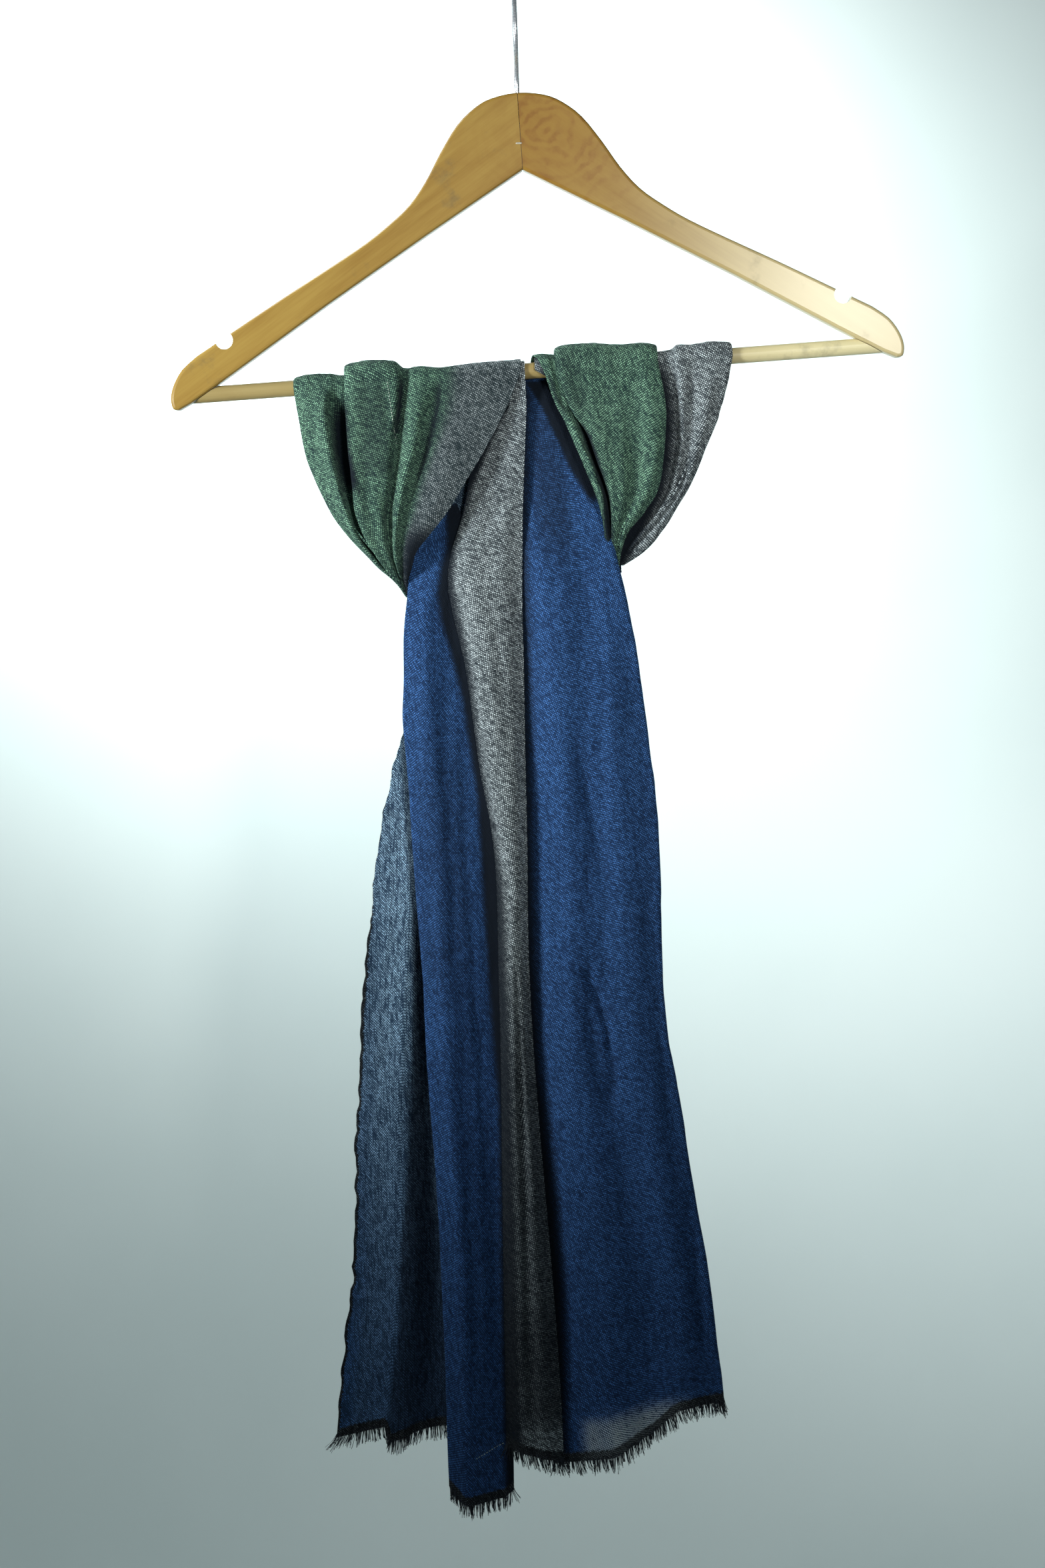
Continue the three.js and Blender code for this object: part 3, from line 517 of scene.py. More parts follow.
# %% [markdown]
# ## From a grid to a thin shell
# The finished cloth is a closed shell under a millimetre thick: the grid pushed half of that
# both ways along its own normals, with its rim closed. The shell carries a UV map in metres
# along and across the threads, so the weave follows every fold, and four plain attributes: how
# far a point is from the hem and from the selvedge, how much of the other yarn shows there, and
# how deep in shade it lies.

# %% Shell maker
FAR = 9.0                 # a distance that no hem or selvedge rule reaches
TURNED_IN = 1.7           # how much of the selvedge is turned in near its top
TURN_FOOT, TURN_RUN = -600, 70      # where that begins, and over what height it comes on


def placed(name, data):
    """Put a mesh, a lamp or a camera in the scene."""
    piece = bpy.data.objects.new(name, data)
    bpy.context.scene.collection.objects.link(piece)
    return piece


def both_sides(values):
    """A value for each point of the grid, for the shell's back and front."""
    return np.concatenate([values.ravel(), values.ravel()])


def closed_faces(rows, cols):
    """The quads of a shell: its back, its front and the four strips of its rim."""
    index = np.arange(rows * cols).reshape(rows, cols)
    under = index + rows * cols
    return np.concatenate([
        np.stack([index[:-1, :-1], index[:-1, 1:], index[1:, 1:], index[1:, :-1]], -1).reshape(-1, 4),
        np.stack([under[:-1, :-1], under[1:, :-1], under[1:, 1:], under[:-1, 1:]], -1).reshape(-1, 4),
        np.stack([index[0, :-1], under[0, :-1], under[0, 1:], index[0, 1:]], -1),
        np.stack([index[-1, :-1], index[-1, 1:], under[-1, 1:], under[-1, :-1]], -1),
        np.stack([index[:-1, 0], index[1:, 0], under[1:, 0], under[:-1, 0]], -1),
        np.stack([index[:-1, -1], under[:-1, -1], under[1:, -1], index[1:, -1]], -1),
    ])


def quad_mesh(name, points, faces):
    """A mesh filled straight from arrays, which is quick for tens of thousands of quads."""
    mesh = bpy.data.meshes.new(name)
    mesh.vertices.add(len(points))
    mesh.vertices.foreach_set("co", points.ravel())
    mesh.loops.add(faces.size)
    mesh.loops.foreach_set("vertex_index", faces.ravel())
    mesh.polygons.add(len(faces))
    mesh.polygons.foreach_set("loop_start", np.arange(len(faces)) * 4)
    mesh.update(calc_edges=True)
    return mesh


def thread_map(across, up, bias):
    """Where each point lies across and along the threads, in metres."""
    middle = across.shape[1] // 2
    turn = math.radians(bias)
    warp = across - across[:, middle:middle + 1]
    weft = 0.3 * up + 0.7 * up.mean(axis=1, keepdims=True)
    return np.stack([
        both_sides(warp * math.cos(turn) - weft * math.sin(turn)),
        both_sides(warp * math.sin(turn) + weft * math.cos(turn))], axis=1) * MM


def shell(name, base, grid, material, hem=False, selvedge=False, tone=None, shade=None, bias=0):
    """Close a shell on a grid. Threads are measured on the smooth `base`, turned by `bias`.

    A selvedge is the dark woven edge on the left, and it narrows towards the top.
    """
    push = normals(grid) * CLOTH / 2
    points = np.concatenate([(grid + push).reshape(-1, 3), (grid - push).reshape(-1, 3)]) * MM
    faces = closed_faces(*grid.shape[:2])
    mesh = quad_mesh(name, points, faces)
    across, down = lengths(base)
    up = down[-1:] - down
    layer = mesh.uv_layers.new(name="threads")
    layer.data.foreach_set("uv", thread_map(across, up, bias)[faces.ravel()].ravel())
    turned_in = TURNED_IN * smooth((grid[:, :, 2] - TURN_FOOT) / TURN_RUN)
    told = {
        "hem": both_sides(up * MM if hem else 0 * up + FAR),
        "selvedge": both_sides((across + turned_in) * MM if selvedge else 0 * up + FAR),
        "grey": both_sides(0 * up if tone is None else tone),
        # how much painted shade darkens each point; the back of the shell gets none
        "deep": np.concatenate([0 * up.ravel(), deep(grid, shade or []).ravel()]),
    }
    for label, values in told.items():
        attribute = mesh.attributes.new(label, "FLOAT", "POINT")
        attribute.data.foreach_set("value", values)
    mesh.shade_smooth()
    mesh.set_sharp_from_angle(angle=math.radians(70))
    mesh.materials.append(material)
    piece = placed(name, mesh)
    cells = np.cross(np.diff(grid, axis=1)[:-1], np.diff(grid, axis=0)[:, :-1])
    area = float(np.linalg.norm(cells, axis=2).sum()) * MM * MM
    length = float(down[-1].mean()) * MM
    piece["cut"] = [area / length, length]
    print(f"{name}: {len(faces) * 2} triangles, cut {area / length:.3f} by {length:.3f} m")
    return piece


print("shells are", CLOTH, "mm thick")

# %% [markdown]
# ## Creases placed one by one
# Each row below is one crease: where it starts and ends in millimetres, how wide it is, and how
# deep. A positive depth is a trough and a negative one a ridge. Their ends fade out, because a
# crease in cloth never stops at a line.

# %% Crease tables
CREASE = "x0 z0 x1 z1 width depth"

SWAG_CREASES = named(
    CREASE,
    (-121, -232, -113, -300, 3.4, 2.4), (-74.2, -219, -81.5, -264, 2.2, 2.0),
    (-78.4, -222, -84.5, -258, 2.6, -1.1), (-52.6, -224, -75, -304, 3.2, 1.5),
    (-90, -226, -83, -264, 4.0, 0.8), (-60, -245, -78, -318, 2.4, -0.7),
    (-104, -262, -96, -330, 3.6, 0.7), (-134, -248, -118, -300, 4.2, 0.8),
    (-92, -288, -86, -332, 2.6, 0.8), (-36, -232, -46, -262, 5.0, 0.6),
    (-24, -232, -52, -280, 4.0, 0.5), (-98, -222, -100, -246, 3.0, 0.6),
)
GREEN_CREASES = named(
    CREASE,
    (15.7, -214, 22.5, -257, 2.4, 1.5), (33, -262, 46, -326, 3.0, 1.6),
    (28, -222, 36, -262, 3.6, 0.7), (47, -226, 52, -300, 4.4, 0.7),
    (66, -224, 68, -290, 4.0, 0.8), (56, -240, 57, -310, 3.0, -0.6),
    (76, -232, 70, -300, 3.2, -0.6), (40, -216, 44, -236, 3.0, 0.5),
)
GREY_SWAG_CREASES = named(
    CREASE,
    (92, -224, 90, -280, 3.2, 0.8), (104, -222, 92, -296, 3.4, 0.9),
    (113, -236, 98, -296, 3.0, -0.6), (120, -232, 106, -282, 3.6, 0.7),
    (96, -298, 78, -332, 2.6, 0.6),
)
GREY_TAIL_CREASES = named(
    CREASE,
    (-8, -262, -38, -306, 3.0, 0.9), (-10, -278, -44, -322, 3.0, -0.6),
    (-12, -300, -42, -336, 2.6, 0.7), (-22, -372, -26, -470, 4.0, 0.7),
    (-16, -430, -17, -560, 3.4, -0.6), (-24, -520, -22, -640, 3.0, 0.8),
    (-19, -640, -20, -900, 4.2, 1.9), (-28, -680, -29, -890, 3.0, -0.6),
    (-9, -690, -6, -890, 3.4, 0.7), (-14, -600, -12, -720, 3.0, 0.5),
)
STRIP_CREASES = named(
    CREASE,
    (-70, -372, -76, -470, 4.2, 0.8), (-60, -430, -58, -620, 4.6, 0.7),
    (-68, -540, -66, -720, 4.0, -0.6), (-56, -640, -54, -900, 4.4, 0.7),
    (-48, -470, -44, -700, 3.6, 0.6), (-66, -730, -67, -915, 4.4, 0.6),
    (-74, -506, -70, -640, 3.0, 0.6),
)
PANEL_CREASES = named(
    CREASE,
    (23.8, -600, 30.2, -613, 3.2, 2.4), (29.8, -611, 34.8, -628, 3.0, 2.8),
    (34.4, -626, 39.4, -654, 3.0, 2.6), (39, -650, 41.2, -680, 2.8, 1.6),
    (19.5, -606, 27, -618, 4.0, -1.2), (31, -640, 36, -674, 4.0, -1.0),
    (23.4, -457, 30, -500, 3.4, 1.0), (30, -497, 36.2, -529, 3.2, 1.0),
    (10, -330, 16, -430, 5.0, 0.9), (30, -345, 46, -430, 5.0, 0.8),
    (52, -430, 58, -560, 5.0, 0.8), (8, -480, 10, -640, 5.0, 0.8),
    (60, -570, 66, -700, 5.4, -0.8), (20, -700, 26, -860, 6.0, 0.9),
    (56, -690, 70, -860, 6.0, 0.9), (84, -750, 92, -850, 4.4, 0.9),
    (38, -720, 44, -850, 5.0, -0.7), (4, -720, 6, -880, 5.0, 0.7),
    (26, -866, 38, -890, 2.6, 1.0), (-6, -270, 8, -330, 4.0, 0.8),
)
BACK_CREASES = named(
    CREASE,
    (-112, -520, -120, -640, 4.0, 0.8), (-100, -600, -106, -760, 4.4, 0.9),
    (-124, -690, -128, -820, 4.0, 0.7), (-108, -760, -112, -880, 4.0, 0.9),
    (-60, -700, -64, -880, 6.0, 0.9), (-20, -600, -18, -860, 7.0, 0.9),
    (20, -520, 26, -840, 7.0, 1.0), (48, -560, 58, -860, 6.0, 0.9),
    (-40, -420, -44, -620, 6.0, 0.8), (4, -400, 6, -560, 6.0, 0.8),
)
print("creases:", sum(len(rows) for rows in (
    SWAG_CREASES, GREEN_CREASES, GREY_SWAG_CREASES, GREY_TAIL_CREASES,
    STRIP_CREASES, PANEL_CREASES, BACK_CREASES)))

# %% [markdown]
# ## Working with node sockets
# Shader and geometry nodes read like sums, so this small class lets Python write them as sums.
# It wraps one socket. Arithmetic on it adds Math nodes, and `node` adds any other node: the
# settings first, because they change which sockets exist, and then values and links.

# %% Socket class
class Socket:
    """A node socket that Python arithmetic can work on."""

    def __init__(self, tree, socket=None):
        self.tree, self.socket = tree, socket

    def node(self, kind, settings=None, inputs=None, output=0):
        """Add a node, set it up, fill its sockets and return one of its outputs."""
        made = self.tree.nodes.new(kind)
        for name, value in (settings or {}).items():
            setattr(made, name, value)
        for name, value in (inputs or {}).items():
            if isinstance(value, Socket):
                self.tree.links.new(value.socket, made.inputs[name])
            else:
                made.inputs[name].default_value = value
        return Socket(self.tree, made.outputs[output])

    def math(self, operation, *others):
        """A Math node on this value and any others."""
        values = dict(enumerate((self, *others)))
        return self.node("ShaderNodeMath", {"operation": operation}, values)

    def vector(self, operation, *others):
        """A Vector Math node on this vector and any others."""
        values = dict(enumerate((self, *others)))
        return self.node("ShaderNodeVectorMath", {"operation": operation}, values)

    def part(self, index):
        """One of the three numbers of this vector."""
        return self.node("ShaderNodeSeparateXYZ", {}, {0: self}, output=index)

    def floor(self):
        """This value rounded down."""
        return self.math("FLOOR")

    def capped(self):
        """This value, but never more than one."""
        return self.math("MINIMUM", 1.0)

    def __add__(self, other):
        return self.math("ADD", other)

    def __sub__(self, other):
        return self.math("SUBTRACT", other)

    def __rsub__(self, other):
        return self.node("ShaderNodeMath", {"operation": "SUBTRACT"}, {0: other, 1: self})

    def __mul__(self, other):
        return self.math("MULTIPLY", other)

    def __truediv__(self, other):
        return self.math("DIVIDE", other)

    def __pow__(self, other):
        return self.math("POWER", other)

    __radd__, __rmul__ = __add__, __mul__

    def ease(self, low, high, start=0.0, end=1.0):
        """Ease from start to end while this value goes from low to high."""
        return self.node("ShaderNodeMapRange", {"interpolation_type": "SMOOTHSTEP"},
                         {0: self, 1: low, 2: high, 3: start, 4: end})

    def tint(self, first, second):
        """Mix two colours by this value."""
        colours = [c if isinstance(c, Socket) else (*c, 1) for c in (first, second)]
        return self.node("ShaderNodeMix", {"data_type": "RGBA"},
                         {0: self, 6: colours[0], 7: colours[1]}, output=2)

    def noise(self, scale, detail=2.0, roughness=0.5):
        """Noise that reads this vector."""
        return self.node("ShaderNodeTexNoise", {},
                         {"Vector": self, "Scale": scale, "Detail": detail, "Roughness": roughness})

    def stretch(self, scale):
        """This vector scaled along each axis; more scale makes a pattern finer."""
        return self.node("ShaderNodeMapping", {}, {"Vector": self, "Scale": scale})

    def turned(self, angles):
        """This vector turned by three angles in degrees."""
        turn = tuple(math.radians(angle) for angle in angles)
        return self.node("ShaderNodeMapping", {}, {"Vector": self, "Rotation": turn})


def new_material(name):
    """An empty material and a socket to start from."""
    material = bpy.data.materials.new(name)
    material.use_nodes = True
    material.node_tree.nodes.clear()
    return material, Socket(material.node_tree)


def place_on(start):
    """Where on its piece a point lies: the Object coordinates."""
    return start.node("ShaderNodeTexCoord", {}, output=3)


def carried(start, name):
    """A number that the mesh itself carries at each point."""
    return start.node("ShaderNodeAttribute", {"attribute_name": name}, output=2)


def show(start, shader):
    """Join a shader to the material's output."""
    output = start.tree.nodes.new("ShaderNodeOutputMaterial")
    start.tree.links.new(shader.socket, output.inputs["Surface"])


def surface(start, inputs):
    """Finish a material with the general shader."""
    show(start, start.node("ShaderNodeBsdfPrincipled", {}, inputs))


print("sockets can be added, multiplied and mixed")

# %% [markdown]
# ## The weave
# The cloth is woven from pale slubby yarn and a dark one. Where the pale yarn passes over, it
# shows as a small bright dot, and the dots sit in staggered rows. A dot could be a texture image,
# but a rule is sharper: the weave map is cut into cells, every other row is moved half a cell,
# and an oval is drawn in each. Every dot gets its own luck, and long soft noise gives the slubs.

# %% The cloth's yarns
DOT_PITCH = 1.55 * MM     # one pale dot to the next along a row
ROW_PITCH = 0.86 * MM     # one row of dots to the next
SLANT = -34               # how far the slanting streaks lean from the warp, in degrees
OVAL = (0.37, 0.46)       # half a dot's size, as shares of the two pitches
SLUB = (900, 110, 1)      # how fine the thick and thin places are, across and along the yarn
STREAK = (1050, 140, 1)   # how fine the slanting streaks are
CRACK = (1100, 80, 1)     # how fine the crinkle's open lines are
HEM_BAND = 7.0 * MM       # dense dark band that the fringe hangs from
SELVEDGE = 2.3 * MM       # dark woven edge along the cloth's length
RAGGED = 0.9 * MM         # how far single dots stray into the dark edges

BLACK_YARN, HEM_GLINT = (0.0064, 0.0078, 0.0105), (0.150, 0.176, 0.184)
# Painted shade: the colour that the cloth is darkened towards in hollows and in the shade zones
PAINTED_SHADE = (0.0048, 0.0080, 0.0135)
GREEN_PALE, GREEN_DARK = (0.285, 0.525, 0.355), (0.009, 0.025, 0.027)
GREY_PALE, GREY_DARK = (0.690, 0.790, 0.820), (0.016, 0.023, 0.030)
BLUE_PALE, BLUE_DARK = (0.072, 0.210, 0.550), (0.007, 0.021, 0.063)
BACK_PALE, BACK_DARK = (0.540, 0.810, 1.000), (0.014, 0.036, 0.076)


def weave(start):
    """The thread map, and on it the dots, each dot's luck and the slubs, from 0 to 1."""
    threads = start.node("ShaderNodeUVMap", {"uv_map": "threads"})
    drift = threads.noise(150, detail=2)
    across = threads.part(0) / DOT_PITCH + 0.9 * drift
    down = threads.part(1) / ROW_PITCH + 1.2 * drift
    row = down.floor()
    shifted = across + 0.5 * row.math("PINGPONG", 1.0)
    column = shifted.floor()
    aside = (shifted - column - 0.5) / OVAL[0]
    away = (down - row - 0.5) / OVAL[1]
    dots = (aside * aside + away * away).ease(1.15, 0.30)
    cell = start.node("ShaderNodeCombineXYZ", {}, {0: column, 1: row})
    luck = start.node("ShaderNodeTexWhiteNoise", {"noise_dimensions": "2D"}, {"Vector": cell})
    slubs = threads.stretch(SLUB).noise(1.0, detail=3).ease(0.36, 0.66)
    slants = threads.turned((0, 0, SLANT)).stretch(STREAK).noise(1.0, detail=2).ease(0.37, 0.63)
    patches = threads.noise(26, detail=3).ease(0.34, 0.66)
    dropped = threads.noise(430, detail=2).ease(0.30, 0.47)
    uneven = slubs * 0.30 + slants * 0.56 + patches * 0.14
    return threads, dots * (0.4 + 0.6 * dropped), luck, uneven


def cloth_material(name, dark, pale, other_pale=None, gain=0.0, sheen=(0.5, 0.6, 0.7), cracks=0.0):
    """Two-tone cloth: pale dots on a dark ground, black at hem and selvedge.

    The mesh says where `other_pale` takes the place of `pale`, `gain` makes it stronger there,
    and `cracks` is how much of the weave is hidden between the crinkle's open lines.
    """
    material, start = new_material(name)
    threads, dots, luck, slubs = weave(start)
    strength = dots * (0.34 + 1.04 * luck) * (0.06 + 1.38 * slubs)
    if cracks:
        open_at = threads.stretch(CRACK).noise(1.0, detail=2).ease(0.36, 0.54)
        strength = strength * (1 - cracks + 1.5 * cracks * open_at)
    pale_yarn = pale
    if other_pale:
        grey = carried(start, "grey")
        pale_yarn = grey.tint(pale, other_pale)
        # On the blue panel's hem this brightening is partly painted light from the wall coming through
        # the thin cloth
        strength = strength * (1 + grey * gain)
    colour = strength.capped().tint(dark, pale_yarn)
    # Painted shade: the colour is darkened where the mesh says a point lies in a hollow or in another
    # stretch's shade
    colour = (1 - (1 - carried(start, "deep")) ** 2).tint(colour, PAINTED_SHADE)
    from_hem = carried(start, "hem") + RAGGED * luck
    from_edge = carried(start, "selvedge") + RAGGED * luck
    band = from_hem.ease(HEM_BAND * 0.8, HEM_BAND * 1.1, 1.0, 0.0)
    side = from_edge.ease(SELVEDGE * 0.8, SELVEDGE * 1.2, 1.0, 0.0)
    black = (strength * 0.5).capped().tint(BLACK_YARN, HEM_GLINT)
    colour = band.math("MAXIMUM", side).tint(colour, black)
    bump = start.node("ShaderNodeBump", {}, {
        "Strength": 0.55, "Distance": 0.35 * MM, "Height": dots * 0.6 + slubs * 0.8})
    surface(start, {
        "Base Color": colour, "Roughness": 0.86, "Normal": bump, "Specular IOR Level": 0.12,
        "Sheen Weight": 0.07, "Sheen Roughness": 0.45, "Sheen Tint": (*sheen, 1)})
    return material


green_cloth = cloth_material("green_and_grey_weave", GREEN_DARK, GREEN_PALE, GREY_PALE)
grey_cloth = cloth_material("grey_weave", GREY_DARK, GREY_PALE)
blue_cloth = cloth_material("blue_weave", BLUE_DARK, BLUE_PALE, GREY_PALE, 4.6, (0.3, 0.45, 0.8))
back_cloth = cloth_material(
    "pale_back_of_weave", BACK_DARK, BACK_PALE, BLUE_PALE, 0.0, (0.4, 0.5, 0.7), cracks=0.8)
print("weave: a dot each", round(DOT_PITCH / MM, 2), "by", round(ROW_PITCH / MM, 2), "mm")

# %% [markdown]
# ## The left swag
# The left leg of the loop passes over the bar and sags to a point behind the tails. Its outer
# edge is turned under, a crisp ridge and a deep valley run down beside it, and towards its inner
# edge the green yarn gives way to grey.

# %% Make the left swag
LEFT_COLUMNS = 120
LEFT_TRIM = (0.12, 0.0)   # how much of the first and last fold the cloth leaves out
GREY_FROM = 10.15         # the fold past which grey sets in
GREY_OVER = 0.45          # how much of a fold the change takes


def sets_in(columns, trim, folds, start, width, pad):
    """How much grey shows in each column: none before a fold, all of it past the next."""
    t = np.linspace(trim[0], len(folds) - 1 - trim[1], columns)
    return np.concatenate([np.zeros(pad), smooth((t - start) / width)])


left_base = rolled(swag_grid(LEFT_SWAG, LEFT_COLUMNS, trim=LEFT_TRIM), "left", 2.0, 9)
left = crinkle(crease(left_base, SWAG_CREASES), 11, 0.22)
left_tone = sets_in(LEFT_COLUMNS, LEFT_TRIM, LEFT_SWAG["folds"], GREY_FROM, GREY_OVER,
                    left.shape[1] - LEFT_COLUMNS)
swag_left = shell(
    "swag_left", left_base, left, green_cloth, bias=-24,
    tone=left_tone + np.zeros(left.shape[:2]), shade=[
        {"side": "right", "line": [(-300, -72), (-318, -78), (-330, -79.5), (-345, -82), (-362, -81)],
         "soft": 9, "amount": 0.88, "top": -306, "fade": 24},
        {"side": "band",
         "line": [(-226, -114), (-250, -116), (-268, -115.5), (-290, -111), (-306, -106)],
         "half": 5.0, "soft": 5, "amount": 0.90, "top": -232, "foot": -300, "fade": 22},
        {"side": "band", "line": [(-218, -77), (-240, -79), (-262, -82.5)], "half": 1.6, "soft": 4,
         "amount": 0.8, "top": -222, "foot": -266},
        {"side": "band", "line": [(-222, -53), (-245, -56), (-265, -61), (-290, -69), (-310, -76)],
         "half": 2.0, "soft": 4, "amount": 0.74, "top": -224, "foot": -304, "foot_fade": 26},
        {"side": "right", "line": [(-222, -52), (-245, -56), (-290, -70), (-330, -80)],
         "soft": 12, "amount": 0.36, "top": -214},
        {"side": "band", "line": [(-230, -96), (-300, -94)],
         "half": 9, "soft": 9, "amount": 0.30, "top": -214, "foot": -292, "fade": 24}])

# %% [markdown]
# ## The right swags
# On the right the loop's other leg is folded lengthwise, so a green face lies over the grey one.
# Both pass over the bar side by side, and each comes down to the same point.

# %% Make the right swags
green_base = rolled(swag_grid(GREEN_SWAG, 92, trim=(0.0, 0.1)), "right", 1.2, 6)
green = crinkle(crease(green_base, GREEN_CREASES), 23, 0.22)
swag_right_front = shell("swag_right_front", green_base, green, green_cloth, bias=18, shade=[
    {"side": "band", "line": [(-250, 27), (-265, 35.2), (-276.6, 39), (-303, 46.3), (-334, 47.8)],
     "half": 2.2, "soft": 3.5, "amount": 0.93, "top": -252, "foot": -338, "fade": 14},
    {"side": "band", "line": [(-222, 12), (-240, 17), (-256, 25)],
     "half": 1.0, "soft": 3, "amount": 0.5, "top": -222, "foot": -258},
    {"side": "left", "line": [(-276, 30), (-300, 39), (-313, 43), (-325, 46), (-347, 50)],
     "soft": 3, "amount": 0.5, "top": -280},
    {"side": "band", "line": [(-214, 25), (-256, 32)],
     "half": 7, "soft": 8, "amount": 0.24, "top": -208, "foot": -256}])

grey_base = rolled(swag_grid(GREY_SWAG, 74, trim=(0.0, 0.1)), "right", 2.0, 7)
grey = crinkle(crease(grey_base, GREY_SWAG_CREASES), 31, 0.2)
swag_right_side = shell("swag_right_side", grey_base, grey, grey_cloth, bias=-20, shade=[
    {"side": "left", "line": [(-222, 84.5), (-246, 88.5), (-262, 89), (-280, 87), (-300, 82.5),
                              (-325, 69.5), (-346, 56.5)],
     "soft": 8, "amount": 0.90, "top": -220}])

# %% [markdown]
# ## The loop's foot and the hanging stretches
# Behind the tails the two swags meet in a gathered band. In front of it hang the grey fold, the
# narrow blue strip and the wide blue panel, and behind them all the other end shows its paler
# side and its dark selvedge. Folded edges are rolled; the hem and the selvedge stay flat. Where
# one stretch lies close behind another, hardly any light gets in, and a small table says where.

# %% Make the loop's foot and the grey fold
foot = loop_grid(BAND)
loop_foot = shell("loop_foot", foot, crinkle(foot, 41, 0.15), blue_cloth, shade=[
    {"side": "right", "line": [(-300, -76), (-370, -76)], "soft": 4, "amount": 0.96}])

fold_base = over_bar(tail_grid(GREY_TAIL, 44))
fold = crinkle(crease(fold_base, GREY_TAIL_CREASES), 53, 0.18)
grey_fold = shell("grey_fold", fold_base, fold, grey_cloth, hem=True, bias=-30, shade=[
    {"side": "right", "line": [(-560, -60), (-950, -60)], "soft": 1, "amount": 0.36, "top": -560,
     "foot": -906, "fade": 130, "foot_fade": 22},
    {"side": "right", "line": [(-560, -60), (-950, -60)], "soft": 1, "amount": 0.50, "top": -740,
     "foot": -906, "fade": 100, "foot_fade": 22},
    {"side": "left", "line": [(-300, -44), (-352, -50), (-410, -41), (-470, -36), (-540, -26),
                              (-660, -24), (-890, -26)], "soft": 7, "amount": 0.74, "top": -300},
    {"side": "left", "line": [(-244, -11), (-262, -21), (-279, -29), (-296, -37), (-313, -42),
                              (-329, -50)],
     "soft": 6, "amount": 0.96, "top": -236, "foot": -345}])

# %% [markdown]
# ## The blue stretches and the pale back
# The strip and the panel are the same tail on either side of the grey fold, both with one edge
# rolled under. Above the panel's hem, where it hangs below the back tail, a paler patch shows:
# partly the pale yarn, partly painted light from the wall coming through the single layer. The
# back tail is the other end of the scarf: it is paler at the top and bluer and darker towards its
# hem, partly its own colour and partly painted light coming through the thin cloth from behind. It
# is also bluer beside its selvedge, which wanders in scallops.

# %% Make the blue strip, the blue panel and the back tail
strip_base = rolled(tail_grid(BLUE_STRIP, 46, trim=(0.03, 0.0)), "left", 1.8, 7)
strip = crinkle(crease(strip_base, STRIP_CREASES), 67, 0.2, ribs=0.25)
blue_strip = shell("blue_strip", strip_base, strip, blue_cloth, hem=True, bias=8, shade=[
    {"side": "right", "line": [
        (-306, -53), (-331, -53.5), (-343, -57.5), (-359, -60.4), (-376, -58.5), (-405, -51.3),
        (-424, -47.4), (-453, -43.9), (-485, -40.1), (-532, -38.9), (-617, -36.9), (-682, -33.7),
        (-747, -34.4), (-849, -37), (-938, -38)],
     "soft": 6.5, "amount": 0.92, "top": -296},
    {"side": "band", "line": [(-450, -63), (-640, -63)], "half": 16, "soft": 8, "amount": 0.12,
     "top": -430, "foot": -640, "fade": 60, "foot_fade": 60}])

panel_base = rolled(tucked(tail_grid(BLUE_PANEL, 74, trim=(0.0, 0.01))), "right", 1.8, 7)
panel = crinkle(crease(panel_base, PANEL_CREASES), 79, 0.24, ribs=0.25)
# A paler patch above the panel's hem, where it hangs below the back tail: partly the pale yarn, partly
# painted light from the wall coming through the single layer
patch = ripple(*lengths(panel_base), 9, 30, 83)
patch_x, patch_z = panel[:, :, 0], panel[:, :, 2]
patch_top = -876 + 0.22 * (patch_x - 72)      # it rises a little to the right
hem_patch_and_painted_light = (smooth((patch_x - 8) / 12) * smooth((90 - patch_x) / 24)
              * smooth((patch_top - patch_z) / 12) * (0.85 + 0.15 * patch))
blue_panel = shell("blue_panel", panel_base, panel, blue_cloth, hem=True, bias=-14,
                   tone=hem_patch_and_painted_light, shade=[
    {"side": "left", "line": [
        (-230, 2), (-330, -4), (-407, -5), (-575, -7), (-661, -6), (-748, 1), (-814, 4), (-902, 2)],
     "soft": 12, "amount": 0.90, "top": -226},
    {"side": "right", "line": [
        (-226, -5), (-236, 2), (-246, 8), (-262, 15), (-284, 24.5), (-300, 33.5), (-318, 42)],
     "soft": 5, "amount": 0.90, "top": -222, "foot": -312},
    {"side": "band", "line": [(-240, 6), (-340, 16)], "half": 11, "soft": 12, "amount": 0.28,
     "top": -230, "foot": -360, "fade": 20, "foot_fade": 50}])

back_base = tail_grid(BACK_TAIL, 120)
back = scalloped(crinkle(crease(back_base, BACK_CREASES), 97, 0.34, ribs=0.5), 1.1, 9, 101)
back_x, back_z = back[:, :, 0], back[:, :, 2]
beside = smooth((back_x[:, :1] + 15 - back_x) / 12) * smooth((-460 - back_z) / 160)
# Paler at the top and bluer and darker towards the hem: partly the cloth's own colour, partly painted
# light coming through the thin cloth from behind. It is also bluer beside the selvedge.
back_tone_and_painted_light = 0.12 + 0.66 * smooth((-560 - back_z) / 330) + 0.20 * beside
back_tail = shell("back_tail", back_base, back, back_cloth, hem=True, selvedge=True,
                  tone=back_tone_and_painted_light, shade=[
    {"side": "right", "line": [
        (-236, -200), (-395, -200), (-425, -88), (-513, -86), (-560, -84.6), (-602, -85.5),
        (-672, -88.5), (-734, -94), (-774, -100), (-835, -104), (-878, -111), (-901, -114)],
     "soft": 3, "amount": 0.38, "reach": 40}])

# %% [markdown]
# ## Working with geometry trees
# Fringe, stitches and hook are each one rule that runs along a line of points, which is what
# Geometry Nodes are for. These helpers start a tree with named inputs, close it, and run it. The
# result is made a plain mesh, so nothing live is left on the piece.

